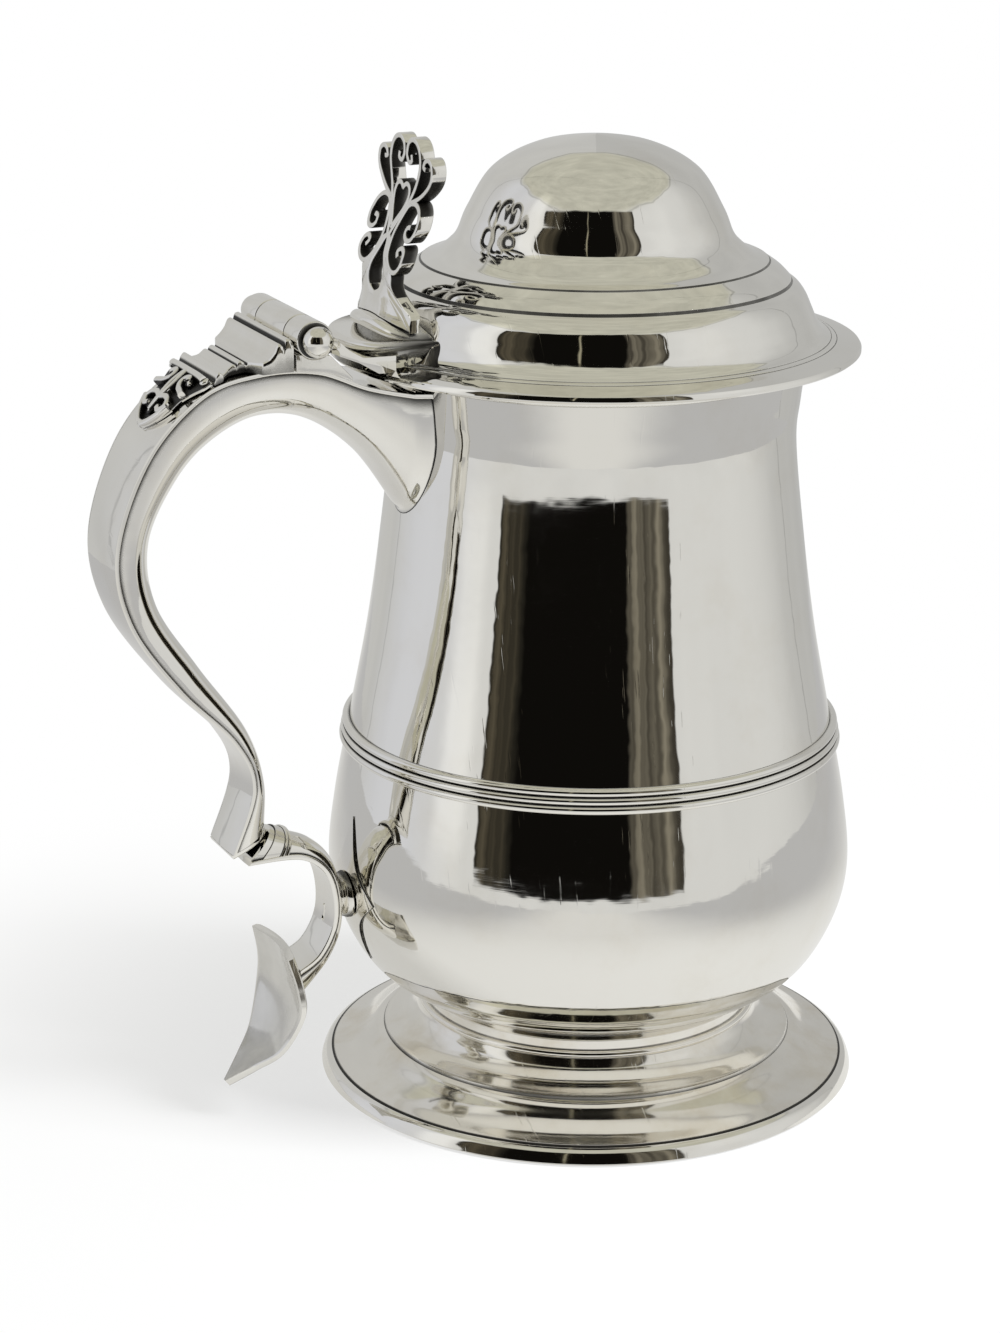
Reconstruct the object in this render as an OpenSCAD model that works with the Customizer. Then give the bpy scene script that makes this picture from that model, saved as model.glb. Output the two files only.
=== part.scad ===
// Lidded tankard: raised baluster body on a spreading foot, double scroll handle,
// domed lid with an openwork scroll thumbpiece on a three-knuckle hinge.
// Millimetres. Origin: centre of the foot's rest plane. +Z up, handle towards -X.

/* [Body] */
// Height of the mouth above the table
rim_z = 159; // [150:0.5:170]
// Largest outside radius of the bulb
bulb_r = 56; // [52:0.5:60]
// Height of the bulb's largest radius
bulb_z = 47.5; // [44:0.5:52]
// Outside radius at the waist under the mouth
waist_r = 42.5; // [40:0.5:44]
// Distance of the waist below the mouth
waist_drop = 19; // [15:0.5:24]
// Outside radius at the mouth
lip_r = 44.4; // [43:0.2:46]
// Thickness of the raised wall
wall = 1; // [0.8:0.1:1.3]
// Radius at which the bulb sits on the foot
seat_r = 36.5; // [33:0.5:40]
// Height at which the bulb sits on the foot
seat_z = 20.2; // [19:0.2:22]
// How far the bottom dips below its seat
bottom_dip = 3.4; // [2:0.2:4]
// Height of the wire round the mouth
lip_wire_h = 2.6; // [2:0.2:3.4]
// How far the mouth wire stands proud
lip_wire_proud = 1.5; // [0.8:0.1:2]

/* [Girdle] */
// Height of the girdle's middle
girdle_z = 77.3; // [72:0.1:84]
// Height of the girdle
girdle_h = 5.1; // [4:0.1:7]
// How far the girdle stands proud
girdle_proud = 1.4; // [1.1:0.1:2]

/* [Foot] */
// Radius of the foot at the table
foot_r = 58; // [55:0.5:62]
// Height of the wire at the foot's edge
foot_wire_h = 3.3; // [2.6:0.1:4]
// Width of the wire at the foot's edge
foot_wire_w = 4.2; // [3.6:0.1:5]
// Radius of the step on the foot
foot_step_r = 44.3; // [43:0.2:46]
// Height of the step on the foot
foot_step_z = 8.7; // [7.8:0.1:9.6]
// Height at which the neck stands on the spreading foot
neck_z = 14.4; // [13:0.2:16]
// Height of the bead at the foot of the neck
neck_bead = 1.8; // [1.2:0.1:2.4]
// Thickness of the neck and the foot
foot_wall = 1.4; // [1:0.1:1.8]

/* [Lid] */
// Gap between the mouth and the closed lid
lid_gap = 0.3; // [0.2:0.05:0.6]
// Outside radius of the flange
flange_r = 55.3; // [54:0.2:57]
// Thickness of the flange
flange_t = 1.6; // [1.2:0.1:2]
// Radius of the lower line round the lid
low_line_r = 40.5; // [39.5:0.2:41.5]
// Height of the lower line above the flange
low_line_h = 12.9; // [12:0.2:14]
// Radius of the upper line round the lid
top_line_r = 35.9; // [35:0.2:37]
// Height of the upper line above the flange
top_line_h = 17.0; // [16:0.2:18]
// Radius of the dome above its cove
dome_r = 28.5; // [27.5:0.2:29.5]
// Height of the lid above the flange
lid_h = 42.3; // [40:0.5:46]
// Thickness of the lid
lid_wall = 1.1; // [0.9:0.1:1.4]
// Gap between the bezel and the mouth
bezel_gap = 1.4; // [1.2:0.1:2]
// Depth of the bezel below the flange
bezel_h = 5.2; // [4:0.2:7]
// Thickness of the bezel
bezel_t = 1.2; // [0.8:0.1:1.6]

/* [Hinge] */
// Distance of the hinge axis from the vessel's axis
hinge_x = 68; // [67:0.2:70]
// Height of the hinge axis above the mouth
hinge_up = 10; // [9.6:0.1:11]
// Outside radius of the knuckles
knuckle_r = 3.8; // [3.6:0.05:4]
// Length of the lid's knuckle
knuckle_mid = 15.6; // [14:0.2:17]
// Length of each of the handle's knuckles
knuckle_end = 7.6; // [6.6:0.2:9]
// Side gap between knuckles
knuckle_gap = 0.25; // [0.2:0.05:0.4]
// Radius of the hinge pin
pin_r = 1.5; // [1.2:0.1:1.8]
// Running clearance of the pin in the lid's knuckle
pin_clear = 0.05; // [0.03:0.01:0.09]
// Clearance round a turning knuckle
swing_gap = 0.45; // [0.4:0.05:0.6]
// Radius of the bead on each end of the hinge
bead_r = 3.1; // [2.8:0.1:3.4]

/* [Hinge drop] */
// Half width of the drop at the hinge
drop_w = 15; // [14:0.2:16]
// Height of the drop's first reed above the strap
drop_h = 6.6; // [6:0.1:7.2]
// Length of the drop along the strap
drop_len = 14.9; // [14:0.1:16]
// Half width of the leaf pendant at its root
pendant_w = 10; // [9.2:0.1:10.4]
// Length of the leaf pendant
pendant_len = 11.6; // [10.6:0.1:12.6]
// Height of the pendant's scrolls above the strap
pendant_h = 2.4; // [1.9:0.1:2.8]
// Width of a scroll on the pendant
pendant_band = 1.3; // [1.1:0.05:1.5]

/* [Handle] */
// Reach of the handle from the vessel's axis
handle_x = 108; // [105:0.5:112]
// Height of the handle's outermost point below the mouth
handle_bow_drop = 32; // [29:0.5:35]
// Half width of the back strap at the hinge
strap_top_w = 11.4; // [10.5:0.1:12.4]
// Half width of the back strap at its lower end
strap_end_w = 7; // [6.4:0.1:7.6]
// Thickness of the straps
strap_t = 1.3; // [1:0.1:1.6]
// Wall of the handle's hollow shells
shell_t = 1; // [0.8:0.1:1.2]
// Ledge of the strap over the shell
strap_ledge = 0.4; // [0.2:0.1:0.8]
// Half width of the saddle on the body
saddle_w = 13.2; // [12.4:0.2:14]
// Height of the saddle on the body
saddle_h = 27.6; // [25:0.5:30]
// Height of the lower joint on the bulb
low_joint_z = 46.5; // [44:0.5:49]
// Half width of the lower scroll
low_w = 5.4; // [4.8:0.1:6]
// Radius of the socket on the bulb
socket_r = 4.4; // [3.8:0.1:5]
// Waist taken out of the socket
socket_waist = 0.8; // [0.4:0.1:1.2]
// Clear distance between the lower scroll and the bulb
socket_len = 2.8; // [2.4:0.1:3.4]
// Thickness of the mount on the bulb
mount_t = 0.8; // [0.6:0.1:1.1]
// Half width of the mount on the bulb
mount_w = 11.6; // [10:0.2:13]
// Height of the mount above and below the socket
mount_h = 16.4; // [14:0.2:18]
// Largest half width of the shield terminal
shield_w = 13; // [11:0.2:14]
// Thickness of the shield terminal
shield_t = 1.7; // [1.4:0.1:2]
// Drop of the shield terminal from its top to its point
shield_len = 29.5; // [27:0.5:32]

/* [Thumbpiece] */
// Height of the thumbpiece above its plinth
thumb_h = 35.1; // [33:0.1:37]
// Half width of the thumbpiece at its wings
thumb_w = 14; // [13:0.1:15]
// Depth of the thumbpiece's scrolls
thumb_t = 3.1; // [2.6:0.1:3.6]
// Width of a scroll's band
band_w = 1.05; // [0.9:0.05:1.2]
// Reach of the thumbpiece's foot from the vessel's axis
thumb_x = 50.2; // [49.4:0.1:50.8]
// How far the thumbpiece's top lies behind its foot
thumb_lean = 8; // [6.5:0.1:9]
// Height of the plinth's lower tier above the flange
tier_low_h = 5.4; // [4.8:0.1:6]
// Height of the plinth's upper tier above the lower
tier_top_h = 4; // [3.4:0.1:4.6]
// Reach of the plinth's lower tier from the vessel's axis
tier_low_x = 57.6; // [56.8:0.1:58.4]
// Reach of the plinth's upper tier from the vessel's axis
tier_top_x = 52.6; // [51.8:0.1:53.4]
// Half width of the plinth's lower tier
tier_low_r = 17; // [16:0.5:18]
// Half width of the plinth's upper tier
tier_top_r = 15.4; // [14.6:0.2:16]
// Radius of the plinth's front
tier_front_r = 36; // [32:1:40]
// Radius of the tiers' rounded noses
tier_nose = 1.45; // [1.2:0.05:1.6]
// Radius of the plinth's crown, which sinks to both sides
crown_r = 45; // [40:1:55]

/* [Hidden] */
$fn = 96;
silver = [0.87, 0.86, 0.83];
worn = [0.78, 0.77, 0.74];
// Hairline left between soldered pieces
seam = 0.05;

// Curves
function mix(a, b, f) = a + (b - a) * f;
function last(v) = v[len(v) - 1];
function rev(v) = [for (i = [len(v) - 1:-1:0]) v[i]];
function unit(v) = v / norm(v);
function blend(a, b, c, d, f) =
    0.5 * (2 * b + (c - a) * f + (2 * a - 5 * b + 4 * c - d) * f * f
           + (3 * b - a - 3 * c + d) * f * f * f);
function along(p, u) =
    let (i = min(floor(u), len(p) - 2))
    blend(p[max(i - 1, 0)], p[i], p[i + 1], p[min(i + 2, len(p) - 1)], u - i);
function spline(p, n) = [for (k = [0:(len(p) - 1) * n]) along(p, k / n)];
function side(p, i) =
    let (t = unit(p[min(i + 1, len(p) - 1)] - p[max(i - 1, 0)])) [-t.y, t.x];
function inset(p, d) =
    [for (i = [0:len(p) - 1]) let (q = p[i] + d * side(p, i)) [max(q.x, 0), q.y]];
function arc(c, r, a, b, n) =
    [for (k = [0:n]) let (t = mix(a, b, k / n)) c + r * [cos(t), sin(t)]];

// Solid through rings, each ring a front chain and a back chain of equal length
module skin(rings) {
    n = len(rings[0][0]);
    k = 2 * n;
    m = len(rings);
    function quad(a, b, c, d) = [[a, c, b], [a, d, c]];
    sides = [for (i = [0:m - 2]) for (j = [0:k - 1])
        each quad(i * k + j, i * k + (j + 1) % k, (i + 1) * k + (j + 1) % k, (i + 1) * k + j)];
    ends = [for (j = [0:n - 2])
        each concat(quad(j, k - 1 - j, k - 2 - j, j + 1),
                    quad((m - 1) * k + j, (m - 1) * k + j + 1,
                         (m - 1) * k + k - 2 - j, (m - 1) * k + k - 1 - j))];
    polyhedron([for (r = rings) each concat(r[0], rev(r[1]))], concat(sides, ends));
}

// Body profile, from the middle of the bottom up the outside to the mouth
waist_z = rim_z - waist_drop;
function belly(f, g) = [mix(seat_r, bulb_r, g), mix(seat_z, bulb_z, f)];
function flank(f, g) = [mix(bulb_r, waist_r, g), mix(bulb_z, waist_z, f)];
function flare(f, g) = [mix(waist_r, lip_r, g), mix(waist_z, rim_z, f)];
body_path = spline([[0, seat_z - bottom_dip], [0.55 * seat_r, seat_z - 0.85 * bottom_dip],
    [seat_r, seat_z], belly(0.21, 0.53), belly(0.58, 0.86), [bulb_r, bulb_z], flank(0.157, 0.1),
    flank(0.351, 0.35), flank(0.568, 0.635), flank(0.784, 0.845), [waist_r, waist_z],
    flare(0.5, 0.35), [lip_r, rim_z]], 4);
body_by_z = [for (p = body_path) [p.y, p.x]];
function body_at(z) = lookup(z, body_by_z);
under_path = [for (p = body_path) if (p.y <= bulb_z) p];
function under_at(r) = lookup(r, under_path);

// Lid profile, from the top of the dome down the outside to the flange
flange_z = rim_z + lid_gap + flange_t;
function above(r, h) = [r, flange_z + h];
lid_dome_path = spline([above(0, lid_h), above(0.42 * dome_r, lid_h - 1.9),
    above(0.745 * dome_r, lid_h - 6.9), above(0.925 * dome_r, mix(top_line_h, lid_h, 0.41)),
    above(dome_r, mix(top_line_h, lid_h, 0.21)), above(mix(dome_r, top_line_r, 0.26), top_line_h + 3),
    above(mix(dome_r, top_line_r, 0.62), top_line_h + 1), above(top_line_r, top_line_h)], 4);
line_cut = 0.3;
function cove(f, g) = above(mix(low_line_r, flange_r, f), g * low_line_h);
lid_step_path = spline([above(top_line_r + line_cut, top_line_h - line_cut),
    above(mix(top_line_r, low_line_r, 0.62), mix(top_line_h, low_line_h, 0.5)),
    above(low_line_r, low_line_h + line_cut)], 4);
lid_cove_path = spline([above(low_line_r + line_cut, low_line_h - line_cut),
    cove(0.122, 0.903), cove(0.216, 0.756), cove(0.297, 0.55), cove(0.378, 0.341), cove(0.48, 0.178),
    cove(0.655, 0.085), cove(0.845, 0.031), cove(0.953, 0)], 4);
lid_edge_path = [above(flange_r, -0.6), above(flange_r, -flange_t + 0.4), above(flange_r - 0.5, -flange_t)];
lid_path = concat(lid_dome_path, lid_step_path, lid_cove_path, lid_edge_path);
bezel_seat_r = mix(low_line_r, flange_r, 0.62);
bezel_plate_t = 0.8 * flange_t;
bezel_top_z = rim_z + lid_gap + bezel_plate_t;
lid_hollow = [for (p = inset(concat(lid_dome_path, rev(rev(lid_cove_path))), -lid_wall))
    if (p.y > bezel_top_z && p.x < bezel_seat_r - 0.4) p];

// Handle curves in the plane y = 0: back strap outside and belly of the shell inside
bow_z = rim_z - handle_bow_drop;
strap_crown = rim_z + 3.7;
low_end_z = low_joint_z + 14.6;
scroll_x = body_at(low_joint_z) + mount_t + socket_len;
saddle_z = rim_z - 3.4;
function out(f) = -mix(lip_r, handle_x, f);
function rise(f) = mix(bow_z, strap_crown, f);
function fall(f) = mix(bow_z, low_end_z, f);
strap_pts = [[-body_at(saddle_z), saddle_z], [-flange_r, rim_z - 0.8], [-hinge_x + 2, strap_crown - 0.4],
    [-hinge_x - 10, strap_crown - 0.1], [out(0.715), rise(0.9)], [out(0.894), rise(0.57)],
    [-handle_x, bow_z + 2], [out(0.961), fall(0.21)], [out(0.8), fall(0.445)],
    [-scroll_x - 24.04, fall(0.635)], [-scroll_x - 20.1, fall(0.79)], [-scroll_x - 24.55, low_end_z]];
belly_pts = [[-body_at(saddle_z - saddle_h), saddle_z - saddle_h], [out(0.135), saddle_z - 14.1],
    [out(0.317), strap_crown - 12.7], [out(0.489), strap_crown - 11], [out(0.638), rise(0.582)],
    [out(0.756), rise(0.38)], [out(0.852), bow_z + 1.4], [out(0.83), fall(0.185)], [out(0.695), fall(0.397)],
    [-scroll_x - 19.21, fall(0.615)], [-scroll_x - 15.77, fall(0.79)], [-scroll_x - 15.39, low_end_z + 3.8]];
strap_widths = [saddle_w, mix(saddle_w, strap_top_w, 0.55), strap_top_w, strap_top_w - 0.6,
    strap_top_w - 0.9, mix(strap_top_w, strap_end_w, 0.36), mix(strap_top_w, strap_end_w, 0.56),
    mix(strap_top_w, strap_end_w, 0.75), mix(strap_top_w, strap_end_w, 0.88), strap_end_w,
    strap_end_w, strap_end_w];

// Lower scroll curves: strap on the hollow side, shell towards the bulb
function low(dx, dz) = [-scroll_x - dx, low_joint_z + dz];
low_strap_pts = [low(22.5, 11.2), low(12, 11.3), low(7, 10.1), low(3.4, 6.7), low(1.9, 1), low(2.3, -5),
    low(5.3, -10.5), low(9.6, -13.2)];
low_belly_pts = [low(14.9, 18.1), low(10.2, 15.9), low(5, 13.6), low(0.9, 9.2), low(-1, 1.6), low(-0.9, -6.3),
    low(2, -13.3), low(9, -21.5)];
low_widths = [low_w, low_w, low_w, low_w, low_w, low_w, low_w + 0.1, low_w + 0.5];

// Ring of a strap or a shell at station u: width across Y, depth from strap to belly
function station(outs, ins, u) =
    let (o = along(outs, u), i = along(ins, u)) [o, unit(i - o), norm(i - o)];
function on_body(p) = [-sqrt(pow(body_at(p.z) + seam, 2) - p.y * p.y), p.y, p.z];
function at(s, y, d) = [s[0].x + s[1].x * d, y, s[0].y + s[1].y * d];
function strap_ring(outs, ins, ws, u) =
    let (s = station(outs, ins, u), w = along(ws, u), ys = [for (k = [-1:0.5:1]) k * w])
    [[for (y = ys) at(s, y, 0)], [for (y = ys) at(s, y, strap_t)]];
function bow(s, w, d, t, n) =
    [for (k = [0:n]) let (a = 180 - 180 * k / n)
        at(s, (w - t) * cos(a), strap_t + seam + (d - t) * pow(sin(a), 0.85))];
function shell_ring(outs, ins, ws, u, n) =
    let (s = station(outs, ins, u), w = along(ws, u) - strap_ledge, d = s[2] - strap_t - seam)
    [bow(s, w, d, shell_t, n), bow(s, w, d, 0, n)];
function fit_body(rings) =
    [for (i = [0:len(rings) - 1]) i > 0 ? rings[i] : [for (c = rings[0]) [for (p = c) on_body(p)]]];

// Hinge frame
hinge_z = rim_z + hinge_up;
hinge_half = knuckle_mid / 2 + knuckle_gap + knuckle_end;
module on_hinge() {
    translate([-hinge_x, 0, hinge_z])
        rotate([90, 0, 0])
            children();
}
module slab(w) {
    rotate([90, 0, 0])
        linear_extrude(2 * w, center = true)
            children();
}
module body_solid(grow) {
    rotate_extrude($fn = 360)
        polygon(concat([for (p = body_path) p + [p.x > 0 ? grow : 0, 0]], [[0, rim_z]]));
}
module lid_solid() {
    rotate_extrude()
        polygon(concat(lid_path, [[0, rim_z + lid_gap]]));
}
tier_over = 2;
module nosed_disc(reach, r, low_z, high_z) {
    translate([r - reach, 0, 0])
        rotate_extrude()
            polygon(concat([[0, low_z], [r - tier_nose, low_z]],
                arc([r - tier_nose, high_z - tier_nose], tier_nose, -90, 90, 8), [[0, high_z]]));
}
module tier(reach, r, low_z, high_z) {
    intersection() {
        nosed_disc(reach, tier_front_r, low_z, high_z);
        nosed_disc(reach + tier_over, r, low_z, high_z);
    }
}
module tier_room(reach, r) {
    intersection() {
        translate([tier_front_r - reach, 0, 0])
            cylinder(r = tier_front_r + seam, h = 2 * rim_z);
        translate([r - reach - tier_over, 0, 0])
            cylinder(r = r + seam, h = 2 * rim_z);
    }
}
module crown() {
    translate([0, 0, plinth_z - crown_r])
        rotate([0, 90, 0])
            cylinder(r = crown_r, h = 4 * flange_r, center = true);
}

// Vessel
module body_shell() {
    color(silver)
        rotate_extrude()
            polygon(concat(body_path, rev(inset(body_path, wall))));
}
module lip_wire() {
    z = rim_z - lip_wire_h;
    rise_z = [for (k = [0:4]) z + lip_wire_h * k / 4];
    color(silver)
        rotate_extrude()
            polygon(concat([for (h = rise_z) [body_at(h) + seam, h]],
                [for (k = [0:8]) let (a = 90 - 180 * k / 8)
                    [lip_r + 0.4 + (lip_wire_proud - 0.4) * cos(a), rim_z - lip_wire_h / 2 * (1 - sin(a))]]));
}
module girdle_band() {
    reeds = 3;
    reed = girdle_h / reeds;
    low_z = girdle_z - girdle_h / 2;
    function reed_at(z) = [body_at(z) + girdle_proud - reed / 2, z];
    color(silver)
        rotate_extrude()
            polygon(concat([for (k = [0:4]) let (h = low_z + girdle_h * (1 - k / 4)) [body_at(h) + seam, h]],
                [for (i = [0:reeds - 1]) each arc(reed_at(low_z + reed * (i + 0.5)), reed / 2, -84, 84, 8)]));
}
module foot_neck() {
    bore = seat_r - foot_wall - 0.4;
    waist = seat_r - 0.9;
    top = [for (k = [0:3]) let (r = mix(bore, seat_r - 0.3, k / 3)) [r, under_at(r) - seam]];
    color(silver)
        rotate_extrude()
            polygon(concat([[bore, neck_z]], top,
                spline([last(top) - [0.3, 0.8], [waist, mix(neck_z + neck_bead, seat_z, 0.5)],
                        [waist, neck_z + neck_bead]], 4),
                arc([seat_r - 0.7, neck_z + neck_bead / 2], neck_bead / 2, 80, -90, 8)));
}
module foot_dome() {
    hem = foot_r - foot_wire_w + foot_wall + 0.4;
    cove = spline([[seat_r - 0.5, neck_z], [seat_r + 0.5, neck_z - 2], [seat_r + 3, neck_z - 4],
        [foot_step_r - 1.6, foot_step_z + 0.7], [foot_step_r - 0.3, foot_step_z + 0.6]], 4);
    ogee = spline([[foot_step_r, foot_step_z], [foot_step_r + 1.8, foot_step_z - 0.8],
        [foot_step_r + 4.4, foot_step_z - 2.6], [foot_step_r + 7.6, foot_step_z - 4.1],
        [hem, foot_wire_h + 0.25], [hem, foot_wire_h]], 4);
    under = [for (p = inset(spline([[seat_r - 0.5, neck_z], [seat_r + 0.5, neck_z - 2],
        [seat_r + 3, neck_z - 4], [foot_step_r - 0.6, foot_step_z + 0.2],
        [foot_step_r + 4.4, foot_step_z - 2.6],
        [hem, foot_wire_h]], 4), -foot_wall)) if (p.y > foot_wire_h && p.y < neck_z) p];
    color(silver)
        rotate_extrude()
            polygon(concat(cove, ogee, [[hem - foot_wall - 0.4, foot_wire_h]], rev(under),
                [[seat_r - foot_wall - 0.5, neck_z]]));
}
module foot_wire() {
    edge = 0.5;
    color(silver)
        rotate_extrude()
            polygon(concat([[foot_r - foot_wire_w, 0], [foot_r - edge, 0]],
                spline([[foot_r, edge], [foot_r - 0.4, 0.5 * foot_wire_h], [foot_r - 1, 0.82 * foot_wire_h],
                        [foot_r - 1.9, foot_wire_h]], 4),
                [[foot_r - foot_wire_w, foot_wire_h]]));
}

// Handle
strap_steps = 4;
strap_end = len(strap_pts) - 1;
low_end = len(low_strap_pts) - 1;
module handle_back_strap() {
    color(silver)
        skin(fit_body([for (k = [0:strap_end * strap_steps])
            strap_ring(strap_pts, belly_pts, strap_widths, k / strap_steps)]));
}
module handle_upper_shell() {
    color(silver)
        skin(fit_body([for (k = [0:strap_end * strap_steps])
            shell_ring(strap_pts, belly_pts, strap_widths, k / strap_steps, 12)]));
}
module handle_end_plate() {
    plate_t = 1;
    s = station(strap_pts, belly_pts, strap_end);
    w = strap_end_w - strap_ledge;
    down = [s[1].y, -s[1].x];
    function dropped(p, h) = p + [down.x * h, 0, down.y * h];
    face = bow(s, w, s[2] - strap_t - seam, 0, 12);
    flat = [for (p = face) at(s, p.y, 0)];
    color(silver)
        skin([for (h = [seam, plate_t]) [[for (p = flat) dropped(p, h)], [for (p = face) dropped(p, h)]]]);
}
module handle_collar() {
    from = 0.45;
    to = 1;
    rings = 20;
    grow = 0.35;
    bead = 0.4;
    function swell(f) = f < 0.6 ? grow : grow + bead * abs(sin(900 * (f - 0.6)));
    function grown(u, g) =
        let (s = station(low_strap_pts, low_belly_pts, u), w = low_w - strap_ledge,
             d = s[2] - strap_t - seam) bow(s, w + g, d + g, 0, 12);
    color(worn)
        skin([for (k = [0:rings]) let (u = mix(from, to, k / rings))
            [grown(u, seam), grown(u, swell(k / rings))]]);
}
module lower_scroll_strap() {
    color(silver)
        difference() {
            skin([for (k = [1:low_end * strap_steps])
                strap_ring(low_strap_pts, low_belly_pts, low_widths, k / strap_steps)]);
            vent_slot();
        }
}
module vent_slot() {
    half = 1.3;
    wide = 0.55;
    translate([-scroll_x - 2.2, 0, low_joint_z - 3.4])
        rotate([0, 90, 0])
            linear_extrude(4, center = true)
                union() {
                    square([2 * half, 2 * wide], center = true);
                    for (s = [-1, 1])
                        translate([s * half, 0])
                            circle(wide, $fn = 32);
                }
}
module lower_scroll_shell() {
    color(silver)
        skin([for (k = [1:low_end * strap_steps])
            shell_ring(low_strap_pts, low_belly_pts, low_widths, k / strap_steps, 10)]);
}
shield_top = 8.3;
function shield_at(dx, f) = low(dx, -shield_top - f * shield_len);
shield_pts = [shield_at(13.1, 0), shield_at(11.3, 0.227), shield_at(11.2, 0.437), shield_at(14.8, 0.722),
    shield_at(19.6, 0.864), shield_at(24.8, 1)];
shield_widths = [for (f = [0.84, 0.95, 1, 0.72, 0.38, 0.03]) f * shield_w];
module shield_terminal() {
    dish = 1.6;
    steps = 3;
    last_u = len(shield_pts) - 1;
    function ring(u) =
        let (c = along(shield_pts, u), t = unit(along(shield_pts, min(u + 0.05, last_u))
                 - along(shield_pts, max(u - 0.05, 0))), n = [-t.y, t.x], w = along(shield_widths, u))
        [for (d = [0, shield_t]) [for (f = [-1:0.25:1])
            let (q = c + n * (d - dish * f * f * w / shield_w)) [q.x, f * w, q.y]]];
    color(silver)
        skin([for (k = [0:last_u * steps]) ring(k / steps)]);
}
module lower_scroll_solid(from, to) {
    function filled(u) =
        let (s = station(low_strap_pts, low_belly_pts, u),
             rim = bow(s, low_w - strap_ledge + seam, s[2] - strap_t, 0, 10))
        [[for (p = rim) at(s, p.y, 0)], rim];
    skin([for (k = [from * strap_steps:to * strap_steps]) filled(k / strap_steps)]);
}
module lower_socket() {
    length = socket_len + 6;
    bed = 0.2;
    color(worn)
        difference() {
            translate([-scroll_x - bed, 0, low_joint_z])
                rotate([0, 90, 0])
                    rotate_extrude()
                        polygon(concat([[0, 0], [socket_r - 0.4, 0]],
                            spline([[socket_r, 0.4], [socket_r - socket_waist, socket_len / 2],
                                    [socket_r + 0.6, socket_len], [socket_r + 0.6, length]], 4),
                            [[0, length]]));
            body_solid(mount_t + 2 * seam);
            lower_scroll_solid(2, 6);
        }
}
module lower_mount() {
    hollow = 0.22;
    function rim(a, b) = [for (k = [0:7]) let (f = k / 8, p = mix(a, b, f))
        p * (1 - hollow * sin(180 * f))];
    tips = [[0, mount_h], [mount_w, 0], [0, -mount_h], [-mount_w, 0]];
    color(silver)
        intersection() {
            difference() {
                body_solid(mount_t + seam);
                body_solid(seam);
            }
            translate([-bulb_r, 0, low_joint_z + 0.6])
                rotate([90, 0, 90])
                    linear_extrude(bulb_r, center = true)
                        polygon([for (i = [0:3]) each rim(tips[i], tips[(i + 1) % 4])]);
        }
}

// Hinge on the handle
function strap_top(u) = along(strap_pts, u) + [0, seam];
module hinge_bracket() {
    ends = [1.45, 2.5];
    foot = [for (k = [0:8]) strap_top(mix(ends[0], ends[1], k / 8))];
    color(worn)
        difference() {
            slab(hinge_half)
                polygon(concat(foot, [[last(foot).x, hinge_z - 0.68 * knuckle_r],
                    [-hinge_x + 0.84 * knuckle_r, hinge_z - 0.84 * knuckle_r],
                    foot[0] + [0, 0.7]]));
            on_hinge()
                cylinder(r = knuckle_r, h = 4 * hinge_half, center = true);
            on_hinge()
                cylinder(r = knuckle_r + swing_gap, h = knuckle_mid + 2 * knuckle_gap, center = true);
        }
}
module fixed_knuckles() {
    color(silver)
        for (s = [-1, 1])
            on_hinge()
                translate([0, 0, s * (hinge_half - knuckle_end / 2)])
                    difference() {
                        cylinder(r = knuckle_r, h = knuckle_end, center = true);
                        cylinder(r = pin_r, h = 2 * knuckle_end, center = true);
                    }
}
module hinge_pin() {
    color(worn)
        on_hinge()
            cylinder(r = pin_r, h = 2 * hinge_half, center = true);
}
module hinge_beads() {
    sunk = 1.6;
    color(silver)
        for (s = [0, 180])
            rotate([0, 0, s])
                translate([s == 0 ? -hinge_x : hinge_x, -hinge_half, hinge_z])
                    rotate([90, 0, 0])
                        rotate_extrude()
                            polygon(concat([[0, 0]], arc([0, sunk], bead_r, -asin(sunk / bead_r), 90, 16)));
}
module hinge_drop() {
    start_x = -hinge_x - knuckle_r - swing_gap;
    end_x = start_x - drop_len;
    base_pts = [for (p = spline(strap_pts, 8))
        if (p.x <= start_x && p.x >= end_x && p.y > bow_z) p + [0, seam]];
    function strap_z(x) = lookup(x, base_pts);
    function reed_x(f) = mix(start_x, end_x, f);
    function reed(f, h, r) = arc([reed_x(f), strap_z(reed_x(f)) + h], r, 10, 170, 6);
    function slope(f, h) = [mix(start_x, end_x, f), strap_z(mix(start_x, end_x, f)) + h];
    top = concat(reed(0.06, drop_h - 0.9, 0.9), reed(0.18, drop_h - 1.9, 0.8),
        [for (k = [1:5]) slope(0.2 + 0.06 * k, mix(drop_h - 2, 2.1, sin(18 * k)))],
        reed(0.585, 1.6, 0.75), reed(0.69, 1.3, 0.65),
        [for (k = [1:4]) slope(0.74 + 0.03 * k, mix(1.3, 1, k / 4))],
        reed(0.93, 1.3, 0.8));
    plan = [[0, 1], [0.3, 0.97], [0.4, 0.92], [0.48, 0.68], [0.54, 0.58], [0.76, 0.56], [0.84, 0.63],
        [0.88, 0.71], [1, 0.71]] * [[1, 0], [0, drop_w]];
    color(silver)
        intersection() {
            slab(drop_w)
                polygon(concat(top, base_pts[0].x > last(base_pts).x ? rev(base_pts) : base_pts));
            linear_extrude(rim_z + 4 * hinge_up)
                polygon(concat([for (p = plan) [mix(start_x, end_x, p.x), p.y]],
                    [for (p = rev(plan)) [mix(start_x, end_x, p.x), -p.y]]));
        }
}
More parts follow.
